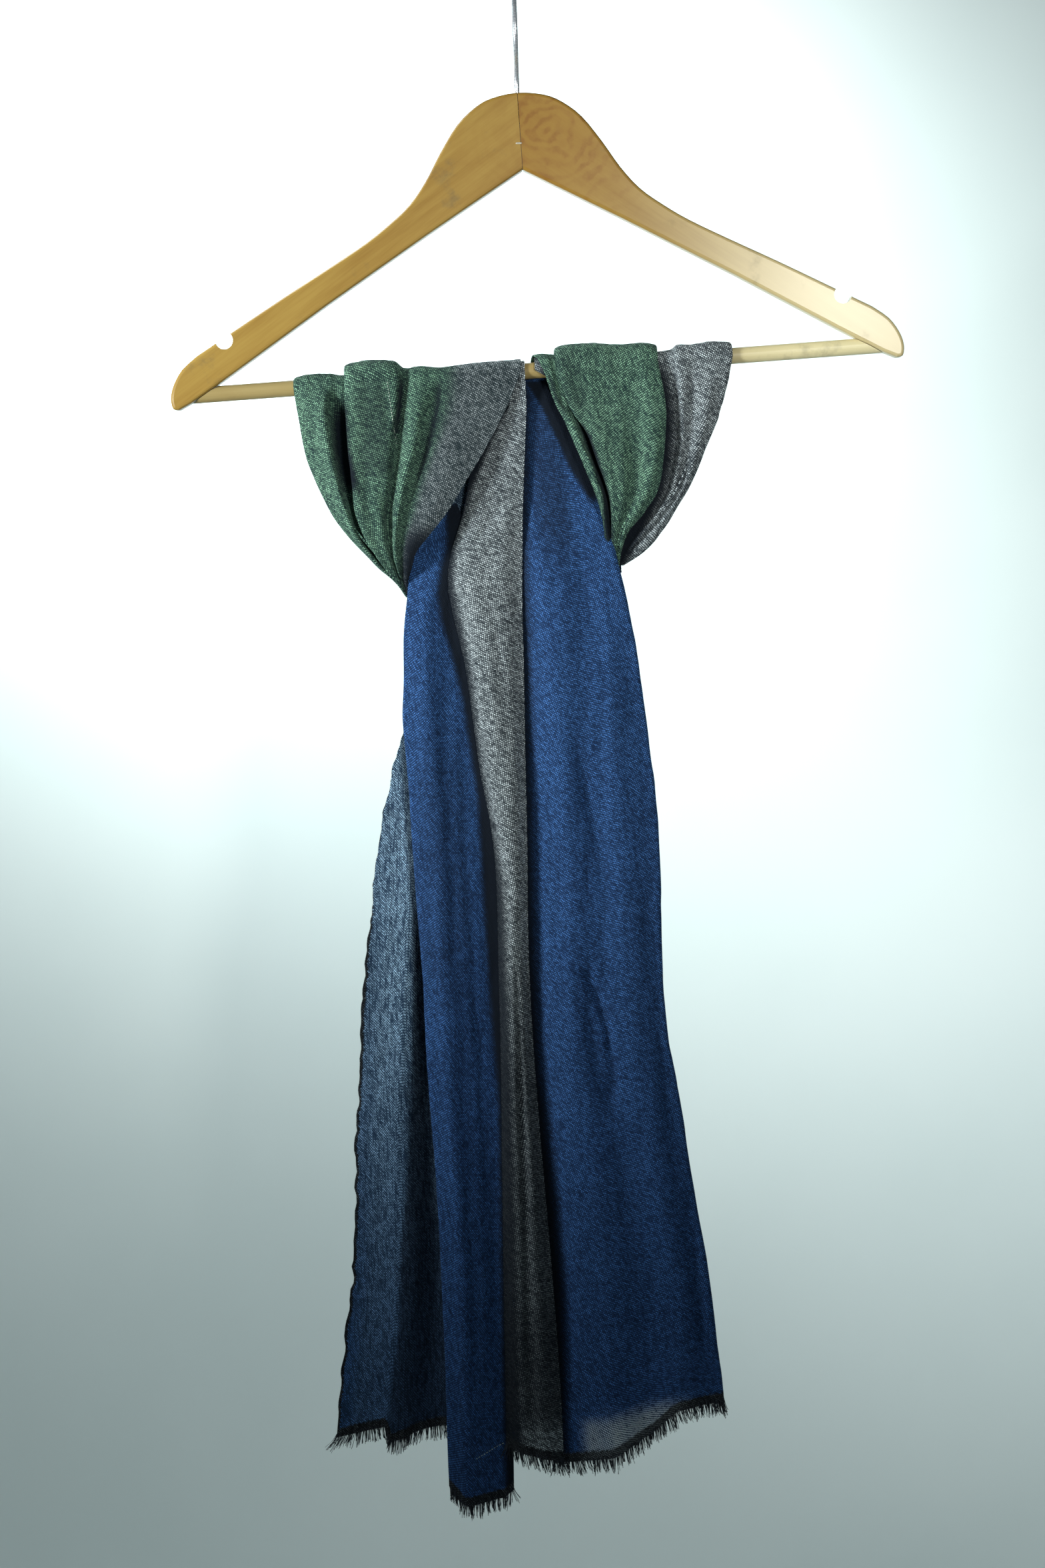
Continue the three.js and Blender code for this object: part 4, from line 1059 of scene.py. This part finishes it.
# %% Tree helpers
def new_tree(name, sockets):
    """A geometry tree with named inputs, its input socket wrappers and its output node."""
    tree = bpy.data.node_groups.new(name, "GeometryNodeTree")
    tree.interface.new_socket("Result", in_out="OUTPUT", socket_type="NodeSocketGeometry")
    for label, kind in sockets:
        tree.interface.new_socket(label, in_out="INPUT", socket_type="NodeSocket" + kind)
    inputs = tree.nodes.new("NodeGroupInput")
    ports = {label: Socket(tree, inputs.outputs[label]) for label, _ in sockets}
    return tree, Socket(tree), ports


def end_tree(start, geometry, material):
    """Close a tree: real geometry, its material, and the output."""
    real = start.node("GeometryNodeRealizeInstances", {}, {0: geometry})
    painted = start.node("GeometryNodeSetMaterial", {}, {"Geometry": real, "Material": material})
    out = start.tree.nodes.new("NodeGroupOutput")
    start.tree.links.new(painted.socket, out.inputs[0])


def apply_tree(name, points, tree, sizes):
    """Run a tree on a line of points and keep the result as a plain mesh."""
    mesh = bpy.data.meshes.new(name)
    mesh.from_pydata([tuple(p) for p in points], [(i, i + 1) for i in range(len(points) - 1)], [])
    line = placed(name + "_line", mesh)
    modifier = line.modifiers.new("nodes", "NODES")
    modifier.node_group = tree
    sockets = [item for item in tree.interface.items_tree if item.in_out == "INPUT"]
    identifier = {item.name: item.identifier for item in sockets}
    for label, value in sizes.items():
        modifier[identifier[label]] = value
    bpy.context.view_layer.update()
    seen = line.evaluated_get(bpy.context.evaluated_depsgraph_get())
    made = bpy.data.meshes.new_from_object(seen)
    made.name = name
    line.modifiers.remove(modifier)
    bpy.data.objects.remove(line)
    piece = placed(name, made)
    print(f"{name}: {sum(len(f.vertices) - 2 for f in made.polygons)} triangles")
    return piece


print("tree helpers ready")

# %% [markdown]
# ## The fringe
# A fringe is the cloth's own lengthwise threads, left loose below the hem. Thousands of alike
# threads are made by one tree: the hem's line becomes a curve, points are spread on it, a
# tapered thread hangs from each, and noise that grows towards the tips gathers them in locks.

# %% Fringe tree
TAPER = 0.35              # how much thinner a thread's tip is than its root
GATHER = 0.62             # how far tips close up in their lock, 1 being all the way
SWAY = 9.0 * MM           # how far whole locks drift to either side
FLARE = 4.4 * MM          # how far the last threads at a corner spread out
CORNER = 15               # the power that keeps the flare to the corners
CENTRED = (0.5, 0.5, 0.5)


def fringe_tree():
    """Loose threads that hang from a line."""
    tree, start, port = new_tree("loose_threads", [
        ("Hem", "Geometry"), ("Spacing", "Float"), ("Length", "Float"), ("Thread", "Float"),
        ("Lock", "Float"), ("Spread", "Float"), ("Slant", "Float"), ("Seed", "Int"),
        ("Material", "Material")])
    line = start.node("GeometryNodeMeshToCurve", {}, {"Mesh": port["Hem"]})
    line = start.node("GeometryNodeResampleCurve", {"mode": "LENGTH"},
                      {"Curve": line, "Length": port["Spacing"]})
    jitter = start.node("FunctionNodeRandomValue", {"data_type": "FLOAT_VECTOR"}, {
        "Min": (-0.0002, -0.0008, 0.0), "Max": (0.0002, 0.0008, 0.0016), "Seed": port["Seed"]})
    line = start.node("GeometryNodeSetPosition", {}, {"Geometry": line, "Offset": jitter})
    root_x = start.node("GeometryNodeInputPosition").part(0)
    line = start.node("GeometryNodeStoreNamedAttribute", {}, {
        "Geometry": line, "Name": "root", "Value": root_x})
    along = start.node("GeometryNodeSplineParameter")
    line = start.node("GeometryNodeStoreNamedAttribute", {}, {
        "Geometry": line, "Name": "share", "Value": along})
    thread = start.node("GeometryNodeCurvePrimitiveLine", {},
                        {"Start": (0, 0, 0), "End": (0, 0, -1)})
    thread = start.node("GeometryNodeResampleCurve", {}, {"Curve": thread, "Count": 6})
    thread = start.node("GeometryNodeStoreNamedAttribute", {}, {
        "Geometry": thread, "Name": "drop", "Value": along})
    ring = start.node("GeometryNodeCurvePrimitiveCircle", {}, {"Resolution": 4, "Radius": 1.0})
    thread = start.node("GeometryNodeCurveToMesh", {}, {
        "Curve": thread, "Profile Curve": ring, "Fill Caps": True,
        "Scale": (1 - along * TAPER) * port["Thread"]})
    reach = start.node("FunctionNodeRandomValue", {"data_type": "FLOAT"},
                       {2: 0.62, 3: 1.0, "Seed": port["Seed"] + 1}, output=1)
    scale = start.node("ShaderNodeCombineXYZ", {}, {0: 1.0, 1: 1.0, 2: reach * port["Length"]})
    lean = start.node("FunctionNodeRandomValue", {"data_type": "FLOAT_VECTOR"}, {
        "Min": (-0.10, -0.07, 0.0), "Max": (0.10, 0.10, 1.5), "Seed": port["Seed"] + 2})
    hung = start.node("GeometryNodeInstanceOnPoints", {}, {
        "Points": line, "Instance": thread, "Rotation": lean, "Scale": scale})
    real = start.node("GeometryNodeRealizeInstances", {}, {0: hung})
    drop = start.node("GeometryNodeInputNamedAttribute", {}, {"Name": "drop"})
    root = start.node("GeometryNodeInputNamedAttribute", {}, {"Name": "root"})
    wander = start.node("ShaderNodeCombineXYZ", {}, {0: root * 140, 1: port["Seed"]}).noise(1.0)
    lock = root / port["Lock"] + 2.2 * wander
    middle = lock.floor() + 0.5
    gather = (middle - lock) * port["Lock"] * drop.ease(0.1, 0.95) * GATHER
    sway = start.node("ShaderNodeCombineXYZ", {}, {0: root * 45, 1: port["Seed"]})
    sway = sway.noise(1.0, detail=1.0) - 0.5
    ends = start.node("GeometryNodeInputNamedAttribute", {}, {"Name": "share"}) * 2 - 1
    flare = FLARE * ends ** CORNER + sway * SWAY + port["Slant"]
    luck = start.node("ShaderNodeTexWhiteNoise", {"noise_dimensions": "1D"}, {"W": middle}, output=1)
    place = start.node("GeometryNodeInputPosition")
    place = place.vector("MULTIPLY", (420, 420, 160))
    curl = start.node("ShaderNodeTexNoise", {}, {"Vector": place, "Scale": 1.0, "Detail": 2.0}, output=1)
    bend = luck.vector("SUBTRACT", CENTRED).vector("ADD", curl.vector("SUBTRACT", CENTRED))
    force = port["Spread"] * drop ** 1.4
    push = start.node("ShaderNodeVectorMath", {"operation": "SCALE"}, {0: bend, "Scale": force})
    aside = start.node("ShaderNodeCombineXYZ", {}, {0: gather + flare * drop ** 1.3})
    real = start.node("GeometryNodeSetPosition", {}, {
        "Geometry": real, "Offset": push.vector("ADD", aside)})
    end_tree(start, real, port["Material"])
    return tree


loose_threads = fringe_tree()
print("nodes in the fringe tree:", len(loose_threads.nodes))

# %% [markdown]
# ## Yarn for the fringe and the stitches
# The loose threads are the cloth's dark yarn. They aren't one flat black: some are bluer.

# %% Black yarn and hang the fringes
def yarn_material(name, dark, light, rough):
    """Loose yarn: its tone changes from thread to thread."""
    material, start = new_material(name)
    place = place_on(start)
    tone = place.stretch((900, 900, 60)).noise(1.0, detail=2).ease(0.35, 0.7)
    fibre = place.stretch((2600, 2600, 300)).noise(1.0, detail=1)
    bump = start.node("ShaderNodeBump", {}, {
        "Strength": 0.4, "Distance": 0.1 * MM, "Height": fibre})
    surface(start, {
        "Base Color": tone.tint(dark, light), "Roughness": rough, "Normal": bump,
        "Specular IOR Level": 0.25, "Sheen Weight": 0.2, "Sheen Roughness": 0.5,
        "Sheen Tint": (0.5, 0.55, 0.6, 1)})
    return material


black_yarn = yarn_material("black_yarn", (0.007, 0.009, 0.013), (0.034, 0.042, 0.058), 0.8)


ROOTED = 1.2              # how far above the hem's edge the threads start


def hang_fringe(name, grid, seed, slant=0.0):
    """Hang a fringe from the foot of a stretch; its tips drift aside by `slant`."""
    hem = (grid[-1] + np.array([0, 0, ROOTED])) * MM
    return apply_tree(name, hem, loose_threads, {
        "Spacing": 0.32 * MM, "Length": FRINGE * MM, "Thread": 0.25 * MM, "Lock": 1.7 * MM,
        "Spread": 2.4 * MM, "Slant": slant * MM, "Seed": seed, "Material": black_yarn})


fringe_fold = hang_fringe("fringe_of_fold", fold, 5, 1.6)
fringe_strip = hang_fringe("fringe_of_strip", strip, 15)
fringe_panel = hang_fringe("fringe_of_panel", panel, 25, 1.4)
fringe_tail = hang_fringe("fringe_of_tail", back, 35, -0.8)

# %% [markdown]
# ## Stitches
# A line of small pale running stitches shows on the left swag and another above the strip's
# hem. Each stitch is a short flattened bead. One tree lays them along any line, every other
# length of thread being on the far side of the cloth.

# %% Stitch tree and the two lines of stitches
def stitch_tree():
    """Short stitches laid along a line."""
    tree, start, port = new_tree("running_stitches", [
        ("Line", "Geometry"), ("Pitch", "Float"), ("Stitch", "Float"), ("Thread", "Float"),
        ("Material", "Material")])
    line = start.node("GeometryNodeMeshToCurve", {}, {"Mesh": port["Line"]})
    line = start.node("GeometryNodeResampleCurve", {"mode": "LENGTH"},
                      {"Curve": line, "Length": port["Pitch"]})
    points = start.node("GeometryNodeCurveToPoints", {"mode": "EVALUATED"}, {"Curve": line})
    turn = Socket(tree, points.socket.node.outputs["Rotation"])
    bead = start.node("GeometryNodeMeshIcoSphere", {}, {"Radius": 1.0, "Subdivisions": 2})
    size = start.node("ShaderNodeCombineXYZ", {}, {
        0: port["Thread"], 1: port["Thread"], 2: port["Stitch"]})
    laid = start.node("GeometryNodeInstanceOnPoints", {}, {
        "Points": points, "Instance": bead, "Rotation": turn, "Scale": size})
    end_tree(start, laid, port["Material"])
    return tree


def on_front(grid, x, z, proud):
    """The point of a grid's front that is nearest to x and z, raised a little."""
    flat = np.where(grid[:, :, 1] < 0, (grid[:, :, 0] - x) ** 2 + (grid[:, :, 2] - z) ** 2, 1e9)
    row, column = np.unravel_index(np.argmin(flat), flat.shape)
    point = grid[row, column] - normals(grid)[row, column] * proud
    return np.array([x, point[1], z])


def stitch_line(name, grid, start, end, count=24):
    """Sew from start to end over a stretch."""
    start, end = np.array(start), np.array(end)
    proud = CLOTH / 2 + 0.22
    places = [on_front(grid, *(start + (end - start) * t), proud) for t in np.linspace(0, 1, count)]
    return apply_tree(name, np.array(places) * MM, running_stitches, {
        "Pitch": 2.0 * MM, "Stitch": 0.62 * MM, "Thread": 0.24 * MM, "Material": pale_thread})


pale_thread = yarn_material("pale_sewing_thread", (0.38, 0.46, 0.40), (0.60, 0.68, 0.60), 0.7)
running_stitches = stitch_tree()
stitches_swag = stitch_line("stitches_on_swag", left, (-86, -229), (-82, -266))
stitches_strip = stitch_line("stitches_on_strip", strip, (-56, -914.5), (-39, -908))

# %% [markdown]
# ## The hanger's wood
# The arms are two boards of varnished light hardwood, with grain that runs along each arm. The
# left one is plain with a few handling smudges; the right one is swirled and redder near the
# crown. The hanger's solids are already right, so they keep their meshes and only get finishes.

# %% Varnished wood
KNOT = (0.016, -0.078)    # middle of the swirl, across and up, in metres
WOOD_PALE, WOOD_DARK = (0.350, 0.225, 0.052), (0.240, 0.128, 0.022)
BAR_PALE, BAR_DARK = (0.36, 0.28, 0.12), (0.28, 0.20, 0.07)
WARM = (0.285, 0.150, 0.020)        # wood round the swirl
RING = (0.190, 0.070, 0.010)        # the swirl's dark rings
GRIME = (0.085, 0.072, 0.045)       # handling smudges
PAINTED_LAMPLIGHT = (0.760, 0.680, 0.400)    # painted light: the paler colour of the right end, where the front lamp shines


def wood_material(name, pale, dark, slope, figure, smudge, lamplight_painted=0.0):
    """Varnished board: grain along the arm, swirls near the crown, smudges, painted light at its right
    end.
    """
    material, start = new_material(name)
    place = place_on(start)
    along = place.turned((0, slope, 0))
    grain = along.stretch((9, 60, 95)).noise(1.0, detail=6, roughness=0.6)
    fine = along.stretch((40, 700, 900)).noise(1.0, detail=3)
    stir = place.noise(34, detail=4)
    aside = place.part(0) - KNOT[0] + 0.03 * (stir - 0.5)
    below = place.part(2) - KNOT[1] - 0.02 * (stir - 0.5)
    away = (aside * aside * 0.6 + below * below) ** 0.5
    rings = away * 880 + 17 * place.noise(48, detail=3)
    broken = place.noise(85, detail=5, roughness=0.62).ease(0.36, 0.66)
    swirl = rings.math("SINE").ease(-0.6, 1.0) * (0.25 + 0.75 * broken) + 0.35 * broken
    near_crown = away.ease(0.010, 0.080, 1.0, 0.0)
    tone = grain.ease(0.30, 0.72) * 0.7 + fine.ease(0.3, 0.7) * 0.18
    base = tone.tint(pale, dark)
    base = (near_crown * figure).tint(base, WARM)
    base = (swirl * near_crown * figure * 0.8).tint(base, RING)
    # Painted light: the hanger's right end is painted paler, where the front lamp shines on it
    base = (place.part(0).ease(0.05, 0.19) * lamplight_painted).tint(base, PAINTED_LAMPLIGHT)
    grime = place.noise(34, detail=5, roughness=0.65).ease(0.56, 0.72) * smudge
    base = grime.tint(base, GRIME)
    rough = 0.30 + 0.22 * grime + 0.12 * grain
    bump = start.node("ShaderNodeBump", {}, {
        "Strength": 0.18, "Distance": 0.25 * MM, "Height": fine * 0.4 + grain * 0.6})
    surface(start, {
        "Base Color": base, "Roughness": rough, "Normal": bump,
        "Coat Weight": 0.16, "Coat Roughness": 0.2, "Specular IOR Level": 0.22})
    return material


# The last number of each is how much painted light pales the right end
finishes = {
    "hanger_arm_left": wood_material("wood_plain", WOOD_PALE, WOOD_DARK, 35, 0.15, 0.4),
    "hanger_arm_right": wood_material("wood_swirled", WOOD_PALE, WOOD_DARK, -35, 0.66, 0.25, 0.60),
    "hanger_bar": wood_material("wood_bar", BAR_PALE, BAR_DARK, 2.2, 0.0, 0.3, 1.0),
}
for node, finish in finishes.items():
    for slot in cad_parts[node].material_slots:
        slot.material = finish
print("finishes on the hanger:", sorted(finishes))

# %% [markdown]
# ## The hook's plating
# The hook is steel wire with a bright plating. A plain metal would mirror the room too cleanly
# for a hook that has rubbed on rails, so fine marks across the wire change its tone and shine.

# %% Plated wire
def wire_material():
    """Bright plated wire with fine rub marks."""
    material, start = new_material("bright_plated_wire")
    place = place_on(start)
    rub = place.stretch((500, 500, 2400)).noise(1.0, detail=3).ease(0.3, 0.75)
    surface(start, {
        "Base Color": rub.tint((0.54, 0.58, 0.64), (0.84, 0.86, 0.88)), "Metallic": 0.75,
        "Roughness": 0.24 + 0.16 * rub})
    return material


plated_wire = wire_material()
print("wire material:", plated_wire.name)

# %% [markdown]
# ## The hook
# The hook is one bent wire: straight out of the crown, over the rail and down to its open end.
# Its solid is faceted, so a smooth wire is drawn along the same path and stands for it. A small
# tree does the work: a line of points, a round profile swept along it, and both ends closed.

# %% Bend the hook
HOOK_RADIUS, WIRE_RADIUS = 20.5, 1.5
HOOK_DROP = 19.0                    # rail seat down to the bend's centre
HOOK_START, HOOK_END = 235, -25     # the bend's two ends, in degrees
STEM_TOP, STEM_FOOT = -52.0, -74.0


def wire_tree():
    """A round wire along a line of points."""
    tree, start, port = new_tree("bent_wire", [
        ("Path", "Geometry"), ("Radius", "Float"), ("Material", "Material")])
    line = start.node("GeometryNodeMeshToCurve", {}, {"Mesh": port["Path"]})
    ring = start.node("GeometryNodeCurvePrimitiveCircle", {}, {"Resolution": 20, "Radius": 1.0})
    wire = start.node("GeometryNodeCurveToMesh", {}, {
        "Curve": line, "Profile Curve": ring, "Fill Caps": True, "Scale": port["Radius"]})
    end_tree(start, wire, port["Material"])
    return tree


def hook_path():
    """The wire's middle line, from inside the crown to the open end."""
    def turn(angle):
        angle = math.radians(angle)
        return np.array([0, HOOK_RADIUS * math.cos(angle), HOOK_RADIUS * math.sin(angle) - HOOK_DROP])

    foot, top, start = np.array([0, 0, STEM_FOOT]), np.array([0, 0, STEM_TOP]), turn(HOOK_START)
    slope = math.radians(HOOK_START - 90)
    meet = np.array([0, 0, start[2] - start[1] * math.tan(slope)])
    path = [foot + (top - foot) * t for t in np.linspace(0, 1, 6)]
    for t in np.linspace(0, 1, 13)[1:]:
        path.append((1 - t) ** 2 * top + 2 * t * (1 - t) * meet + t * t * start)
    path += [turn(angle) for angle in np.linspace(HOOK_START, HOOK_END, 73)[1:]]
    return np.array(path) * MM


hook_wire = apply_tree("hook_wire", hook_path(), wire_tree(), {
    "Radius": WIRE_RADIUS * MM, "Material": plated_wire})
hook_wire.data.shade_smooth()

# %% [markdown]
# ## The joint pin
# The two arms meet at a glued finger joint below the crown, and one small pale fastener bridges
# it. It is a rounded bar a few millimetres long that lies flat on the arms' faces.

# %% Make the pin
PIN_HALF = (1.9, 0.35, 0.62)        # half its size across, in depth and up
PIN_DEPTH, PIN_HEIGHT = -6.0, -86.6


def make_pin():
    """A small flattened, rounded bar across the joint."""
    mesh = bpy.data.meshes.new("joint_pin")
    form = bmesh.new()
    bmesh.ops.create_uvsphere(form, u_segments=24, v_segments=12, radius=1.0)
    for vertex in form.verts:
        x, y, z = vertex.co
        fuller = (x ** 4 + z ** 4 + 1e-9) ** -0.25 * math.hypot(x, z)
        across, deep_in, up = PIN_HALF[0] * x * fuller, PIN_HALF[1] * y, PIN_HALF[2] * z * fuller
        vertex.co = (across * MM, (PIN_DEPTH + deep_in) * MM, (PIN_HEIGHT + up) * MM)
    form.to_mesh(mesh)
    form.free()
    mesh.shade_smooth()
    return placed("joint_pin", mesh)


joint_pin = make_pin()
pin_metal, pin_start = new_material("dull_pale_metal")
pin_grain = place_on(pin_start).noise(900, detail=2)
surface(pin_start, {
    "Base Color": pin_grain.tint((0.36, 0.31, 0.22), (0.52, 0.48, 0.38)), "Metallic": 0.3,
    "Roughness": 0.38 + 0.2 * pin_grain})
joint_pin.data.materials.append(pin_metal)
print("pin:", tuple(round(v / MM, 1) for v in joint_pin.dimensions), "mm")

# %% [markdown]
# ## The glue in the joint
# The arms' solids stop a hair apart where the real boards are glued. A dark line of glue fills
# that hair, so no light comes through the crown. It is a plain closed strip that leans with the
# joint, a little lower than the faces around it.

# %% Make the glue line
HALF_GAP = 0.25                     # half the gap between the arms' solids
GLUE_FACE = 5.9                     # the arms' faces are at 6
JOINT_FOOT, JOINT_HEAD = (1.72, -101.2), (0.71, STEM_FOOT - 0.6)


def make_glue():
    """A closed strip that fills the joint between the two arms."""
    corners = [(x + side, y, z) for side in (-HALF_GAP, HALF_GAP) for y in (-GLUE_FACE, GLUE_FACE)
               for x, z in (JOINT_FOOT, JOINT_HEAD)]
    sides = [(0, 1, 3, 2), (4, 6, 7, 5), (0, 4, 5, 1), (2, 3, 7, 6), (0, 2, 6, 4), (1, 5, 7, 3)]
    mesh = bpy.data.meshes.new("joint_glue")
    mesh.from_pydata([tuple(np.array(corner) * MM) for corner in corners], [], sides)
    return placed("joint_glue", mesh)


joint_glue = make_glue()
glue, glue_start = new_material("dark_glue")
glue_grain = place_on(glue_start).noise(700, detail=2)
surface(glue_start, {
    "Base Color": glue_grain.tint((0.030, 0.014, 0.006), (0.060, 0.030, 0.012)), "Roughness": 0.6})
joint_glue.data.materials.append(glue)
print("glue line:", tuple(round(v / MM, 1) for v in joint_glue.dimensions), "mm")

# %% [markdown]
# ## Which solid each piece stands for
# Every stretch of cloth replaces its plain solid, which is hidden, and rides on the root with its
# fringe and stitches; the fringes' solids are hidden too. Each stretch carries the size it was cut
# to. The hanger's arms and bar stay in view, and the smooth wire stands in for the hook's solid.

cloths = [
    (swag_left, "scarf_swag_left", "cloth_green", "draped", ["hanger_bar"], [stitches_swag]),
    (swag_right_front, "scarf_swag_right_front", "cloth_green", "draped", ["hanger_bar"], []),
    (swag_right_side, "scarf_swag_right_side", "cloth_grey", "draped", ["hanger_bar"], []),
    (loop_foot, "scarf_loop_behind", "cloth_blue", "gathered", [swag_left, swag_right_side], []),
    (grey_fold, "scarf_tail_grey_fold", "cloth_grey", "hung", ["hanger_bar"], [fringe_fold]),
    (blue_strip, "scarf_tail_left_strip", "cloth_blue", "hung", [swag_left],
     [fringe_strip, stitches_strip]),
    (blue_panel, "scarf_tail_right_panel", "cloth_blue", "hung", ["hanger_bar"], [fringe_panel]),
    (back_tail, "scarf_tail_back", "cloth_reverse", "hung", ["hanger_bar"], [fringe_tail]),
]
for piece, node, slot, held, rests_on, trims in cloths:
    for part in [piece, *trims]:
        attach(part, "root")
    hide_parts(node)
for piece, node in ((fringe_fold, "fringe_grey_fold"), (fringe_strip, "fringe_left_strip"),
                    (fringe_panel, "fringe_right_panel"), (fringe_tail, "fringe_back")):
    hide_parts(node)
for piece in (joint_pin, hook_wire):
    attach(piece, "root")
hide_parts("hanger_hook")
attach(joint_glue, "root")
print("cloth pieces declared:", len(cloths))

# %% [markdown]
# ## Wall, floor and light
# The scarf hangs in front of a pale, cool wall. The wall is drawn from its front only, so the
# scarf can also be seen from behind: seen from its back, the paint is clear.

# %% Wall and floor
def stage_plane(name, corners, material):
    """A flat stage piece."""
    mesh = bpy.data.meshes.new(name)
    mesh.from_pydata(corners, [], [(0, 1, 2, 3)])
    plane = placed(name, mesh)
    mesh.materials.append(material)
    return plane


SIDE, NEAR = 2, -2                  # half the width of wall and floor, and the floor's near edge
WALL_Y, WALL_TOP, FLOOR_Z = 0.55, 1.2, -1.46
BACKFACING = 6                      # the Geometry node's output that tells front from back
paint, paint_start = new_material("wall_paint")
uneven = place_on(paint_start).noise(2.2, detail=4)
matt = paint_start.node("ShaderNodeBsdfDiffuse", {}, {
    "Color": uneven.ease(0.3, 0.7).tint((0.70, 0.80, 0.79), (0.76, 0.85, 0.84))})
clear = paint_start.node("ShaderNodeBsdfTransparent")
behind = paint_start.node("ShaderNodeNewGeometry", output=BACKFACING)
show(paint_start, paint_start.node("ShaderNodeMixShader", {}, {0: behind, 1: matt, 2: clear}))
stage_plane("wall", [
    (-SIDE, WALL_Y, FLOOR_Z), (SIDE, WALL_Y, FLOOR_Z), (SIDE, WALL_Y, WALL_TOP),
    (-SIDE, WALL_Y, WALL_TOP)], paint)
floor_paint, floor_start = new_material("pale_floor")
speck = place_on(floor_start).noise(30, detail=3)
surface(floor_start, {
    "Base Color": speck.tint((0.66, 0.70, 0.70), (0.74, 0.77, 0.76)), "Roughness": 0.7})
stage_plane("floor", [
    (-SIDE, NEAR, FLOOR_Z), (SIDE, NEAR, FLOOR_Z), (SIDE, WALL_Y, FLOOR_Z),
    (-SIDE, WALL_Y, FLOOR_Z)], floor_paint)
print("wall at", WALL_Y, "and floor at", FLOOR_Z, "m")

# %% [markdown]
# ## Lamps
# One soft lamp stands near the scarf at its left, so folds throw long shadows and the light is
# much weaker at the hem. A narrow one at the front lights the right end of the hanger, which is
# also painted paler there. Two more light only the wall, one behind the hanger and a weak one
# low down at the right.

# %% Lamps and the room's own light
def lamp(name, place, aim, size, watts, colour, cone):
    """A soft round lamp that points at a place and fades towards the rim of its cone."""
    light = bpy.data.lights.new(name, "SPOT")
    light.shadow_soft_size, light.energy, light.color = size, watts, colour
    light.spot_size, light.spot_blend = math.radians(cone), 1.0
    piece = placed(name, light)
    toward = np.array(aim, float) - place
    z = -toward / np.linalg.norm(toward)
    x = np.cross((0, 0, 1), z)
    x /= np.linalg.norm(x)
    turn = Matrix(np.stack([x, np.cross(z, x), z], axis=1).tolist()).to_4x4()
    piece.matrix_world = Matrix.Translation(place) @ turn
    return piece


lamp("side_lamp", (-0.88, -0.55, -0.22), (-0.02, 0, -0.22), 0.12, 56, (0.96, 1.0, 1.0), 74)
lamp("front_lamp", (0.42, -1.50, -0.06), (0.15, 0, -0.23), 0.10, 50, (1.0, 0.99, 0.94), 38)
lamp("low_wall_lamp", (0.52, 0.05, -0.72), (0.46, WALL_Y, -0.86), 0.15, 3.5, (0.94, 1.0, 1.0), 120)
lamp("wall_lamp", (-0.24, 0.12, 0.08), (-0.16, WALL_Y, -0.30), 0.15, 40, (0.94, 1.0, 1.0), 150)
world = bpy.data.worlds.new("room")
world.use_nodes = True
room_light = world.node_tree.nodes["Background"].inputs
room_light["Color"].default_value = (0.74, 0.84, 0.88, 1)
room_light["Strength"].default_value = 0.16
bpy.context.scene.world = world
bpy.context.scene.view_settings.view_transform = "Standard"
bpy.context.scene.view_settings.look = "None"

# %% [markdown]
# ## The camera
# The viewer stands a metre and a half away, a little below the bar, and looks slightly down. A
# rotation about X tips the view and one about its own axis gives it its small lean.

# %% Camera
CAMERA_PLACE = (-0.01149, -1.54780, -0.31860)
CAMERA_PITCH, CAMERA_LEAN = -6, -2
view = bpy.data.cameras.new("camera")
view.sensor_fit, view.sensor_height, view.lens = "VERTICAL", 36, 56.63
camera = placed("camera", view)
camera.matrix_world = (Matrix.Translation(CAMERA_PLACE)
                       @ Matrix.Rotation(math.radians(90 + CAMERA_PITCH), 4, "X")
                       @ Matrix.Rotation(math.radians(CAMERA_LEAN), 4, "Z"))
bpy.context.scene.camera = camera
print("camera at", CAMERA_PLACE)
